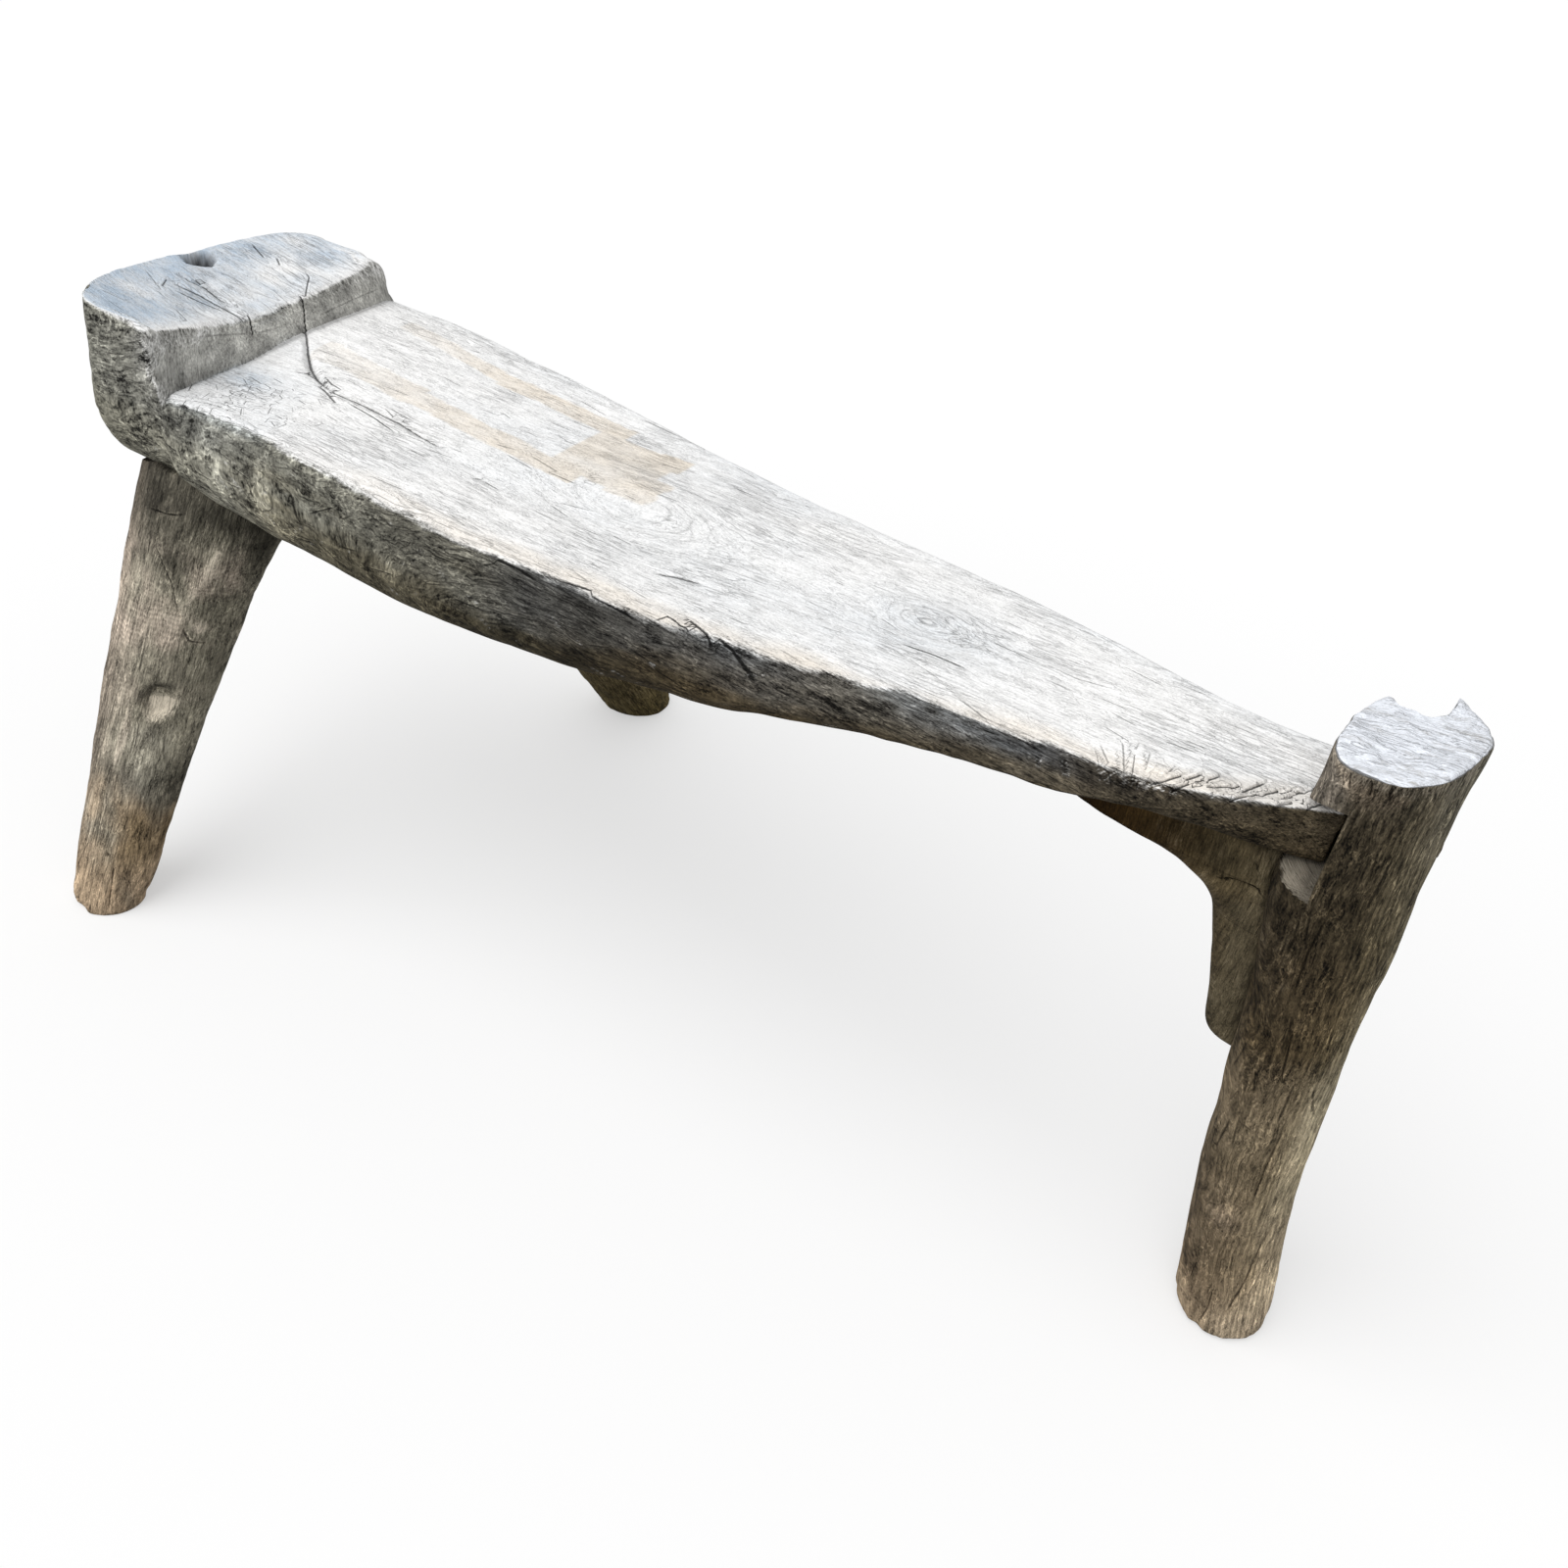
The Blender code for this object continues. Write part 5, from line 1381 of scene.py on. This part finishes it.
skin("foot_knee_crook", *knee_skin, olive_wood, "foot_knee", "brown_wood", 0.5, padded_rows(knee_cracks))

# Pegs
# Two whittled round pegs, driven level through the post into the seat's end and into the knee.
# Dark hard wood with flattened hammered heads that stand a little proud of the post's far side.
PEG_RADIUS = 0.006
PEG_DOME = 0.0012
PEG_STAND_OUT = 0.002
PEG_TINT = (0.050, 0.036, 0.024)


def peg_skin(node):
    """A whittled bar along X: shallow flats round it, a rounded and dished head, and a blunt tip."""
    low, high = (np.array(corner) - bench_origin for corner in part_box(node))
    centre = (low + high) / 2
    far_side = 2 * curve(post_x, centre[2]) - post_face(centre[1], centre[2])
    high[0] = min(high[0], far_side + PEG_STAND_OUT)
    share = np.concatenate([np.linspace(0, 1, 40), np.ones(8)])[:, None]
    head = np.linspace(0.75, 0.08, 8)
    radius = np.concatenate([np.linspace(0.72, 1, 4), np.ones(33), [0.98, 0.93, 0.82], head])
    turn = 2 * math.pi * np.arange(36)[None, :] / 36
    flats = 1 - 0.03 * np.cos(7 * turn) ** 2
    ring = PEG_RADIUS * radius[:, None] * flats
    dome = PEG_DOME * (radius[:, None] ** 2 - 1) * (share >= 1)
    x = low[0] + (high[0] - low[0]) * share + np.where(share >= 1, -0.3 * PEG_DOME - 0.4 * dome, 0)
    x = x + 0 * turn
    y = centre[1] + ring * np.sin(turn)
    z = centre[2] + ring * np.cos(turn)
    points = np.stack([x, y, z], axis=-1)
    points = points + outward(points) * 0.00015 * rough(points, (0.02, 0.003, 0.003), 193)[..., None]
    grain = np.stack([x, y - low[1] + 0.6 * z, ring + 0 * turn], axis=-1)
    end = np.where(share >= 1, 0.55, 0.25) + 0 * turn
    wear = np.stack([end + 0.2 * rough(points, 0.004, 197), 0.2 + 0 * end, 0 * end, 0 * end], axis=-1)
    tint = with_rings(np.full_like(points, 1) * PEG_TINT, 0)
    return points, grain, tint, wear


peg_wood = weathered_wood("peg_wood", pale=(0.20, 0.155, 0.11), warm=(0.2, 0.15, 0.1), cool=(0.2, 0.2, 0.2))
skin("seat_peg_bar", *peg_skin("seat_peg"), peg_wood, "seat_peg", "peg_wood")
skin("knee_peg_bar", *peg_skin("knee_peg"), peg_wood, "knee_peg", "peg_wood")

# Floor
# A plain pale studio floor. It looks white to the camera, but sends back little light, as open ground does.
FLOOR_REACH = 30.0
FLOOR_SEEN = 0.50
FLOOR_GLOW = 0.46
FLOOR_BOUNCE = 0.40
floor_mesh = bpy.data.meshes.new("floor")
floor_corners = [(sx * FLOOR_REACH, sy * FLOOR_REACH, 0.0) for sx, sy in ((-1, -1), (1, -1), (1, 1), (-1, 1))]
floor_mesh.from_pydata(floor_corners, [], [(0, 1, 2, 3)])
floor_material = bpy.data.materials.new("pale_floor")
floor_material.use_nodes = True
floor_tree = floor_material.node_tree
floor_shader = floor_tree.nodes["Principled BSDF"]
floor_shader.inputs["Roughness"].default_value = 0.9
floor_shader.inputs["Specular IOR Level"].default_value = 0.0
rays = Shade(floor_tree).node("ShaderNodeLightPath")
seen = rays[0].math("MAXIMUM", rays[0], rays[3])
for socket_name, bounced, shown in (
    ("Base Color", FLOOR_BOUNCE, FLOOR_SEEN),
    ("Emission Color", 0.0, FLOOR_GLOW),
):
    greys = {0: seen, 6: (bounced, bounced, bounced, 1), 7: (shown, shown, shown, 1)}
    mixed = Shade(floor_tree).node("ShaderNodeMix", {"data_type": "RGBA"}, greys)[2]
    floor_tree.links.new(mixed.socket, floor_shader.inputs[socket_name])
floor_shader.inputs["Emission Strength"].default_value = 1.0
floor_mesh.materials.append(floor_material)
floor = bpy.data.objects.new("floor", floor_mesh)
bpy.context.scene.collection.objects.link(floor)

# Light
# Soft overcast daylight: an even pale sky, and a broad hazy sun high up to the front and left.
SKY_STRENGTH = 0.55
SUN_STRENGTH = 2.2
SUN_SPREAD = 70.0
SUN_TURN = (30.0, -25.0)
world = bpy.data.worlds.new("sky")
bpy.context.scene.world = world
world.use_nodes = True
sky = world.node_tree.nodes["Background"]
sky.inputs["Color"].default_value = (1.0, 1.0, 1.0, 1.0)
rays = Shade(world.node_tree).node("ShaderNodeLightPath")
seen = rays[0].math("MAXIMUM", rays[0], rays[0].math("MAXIMUM", rays[3], rays[6]))
world.node_tree.links.new((seen * (1 - SKY_STRENGTH) + SKY_STRENGTH).socket, sky.inputs["Strength"])
sun = bpy.data.lights.new("sun", "SUN")
sun.energy = SUN_STRENGTH
sun.angle = math.radians(SUN_SPREAD)
sun_object = bpy.data.objects.new("sun", sun)
sun_object.rotation_euler = (math.radians(SUN_TURN[0]), math.radians(SUN_TURN[1]), 0.0)
bpy.context.scene.collection.objects.link(sun_object)

# Camera
# Held above the bench in front of the post's end, tilted down and turned towards the headrest.
CAMERA_AT = (0.891, -0.820, 0.983)
CAMERA_HEADING = 25.065
CAMERA_PITCH = 38.939
CAMERA_ROLL = 8.852
CAMERA_LENS = 33.32
camera = bpy.data.objects.new("camera", bpy.data.cameras.new("camera"))
camera.data.lens = CAMERA_LENS
camera.data.sensor_width = 36.0
heading = Matrix.Rotation(math.radians(CAMERA_HEADING), 4, "Z")
tilt = Matrix.Rotation(math.radians(90 - CAMERA_PITCH), 4, "X")
roll = Matrix.Rotation(math.radians(CAMERA_ROLL), 4, "Z")
place = Matrix.Translation((bench_origin + CAMERA_AT).tolist())
camera.matrix_world = place @ heading @ tilt @ roll
bpy.context.scene.collection.objects.link(camera)
bpy.context.scene.camera = camera
bpy.context.scene.view_settings.view_transform = "Standard"
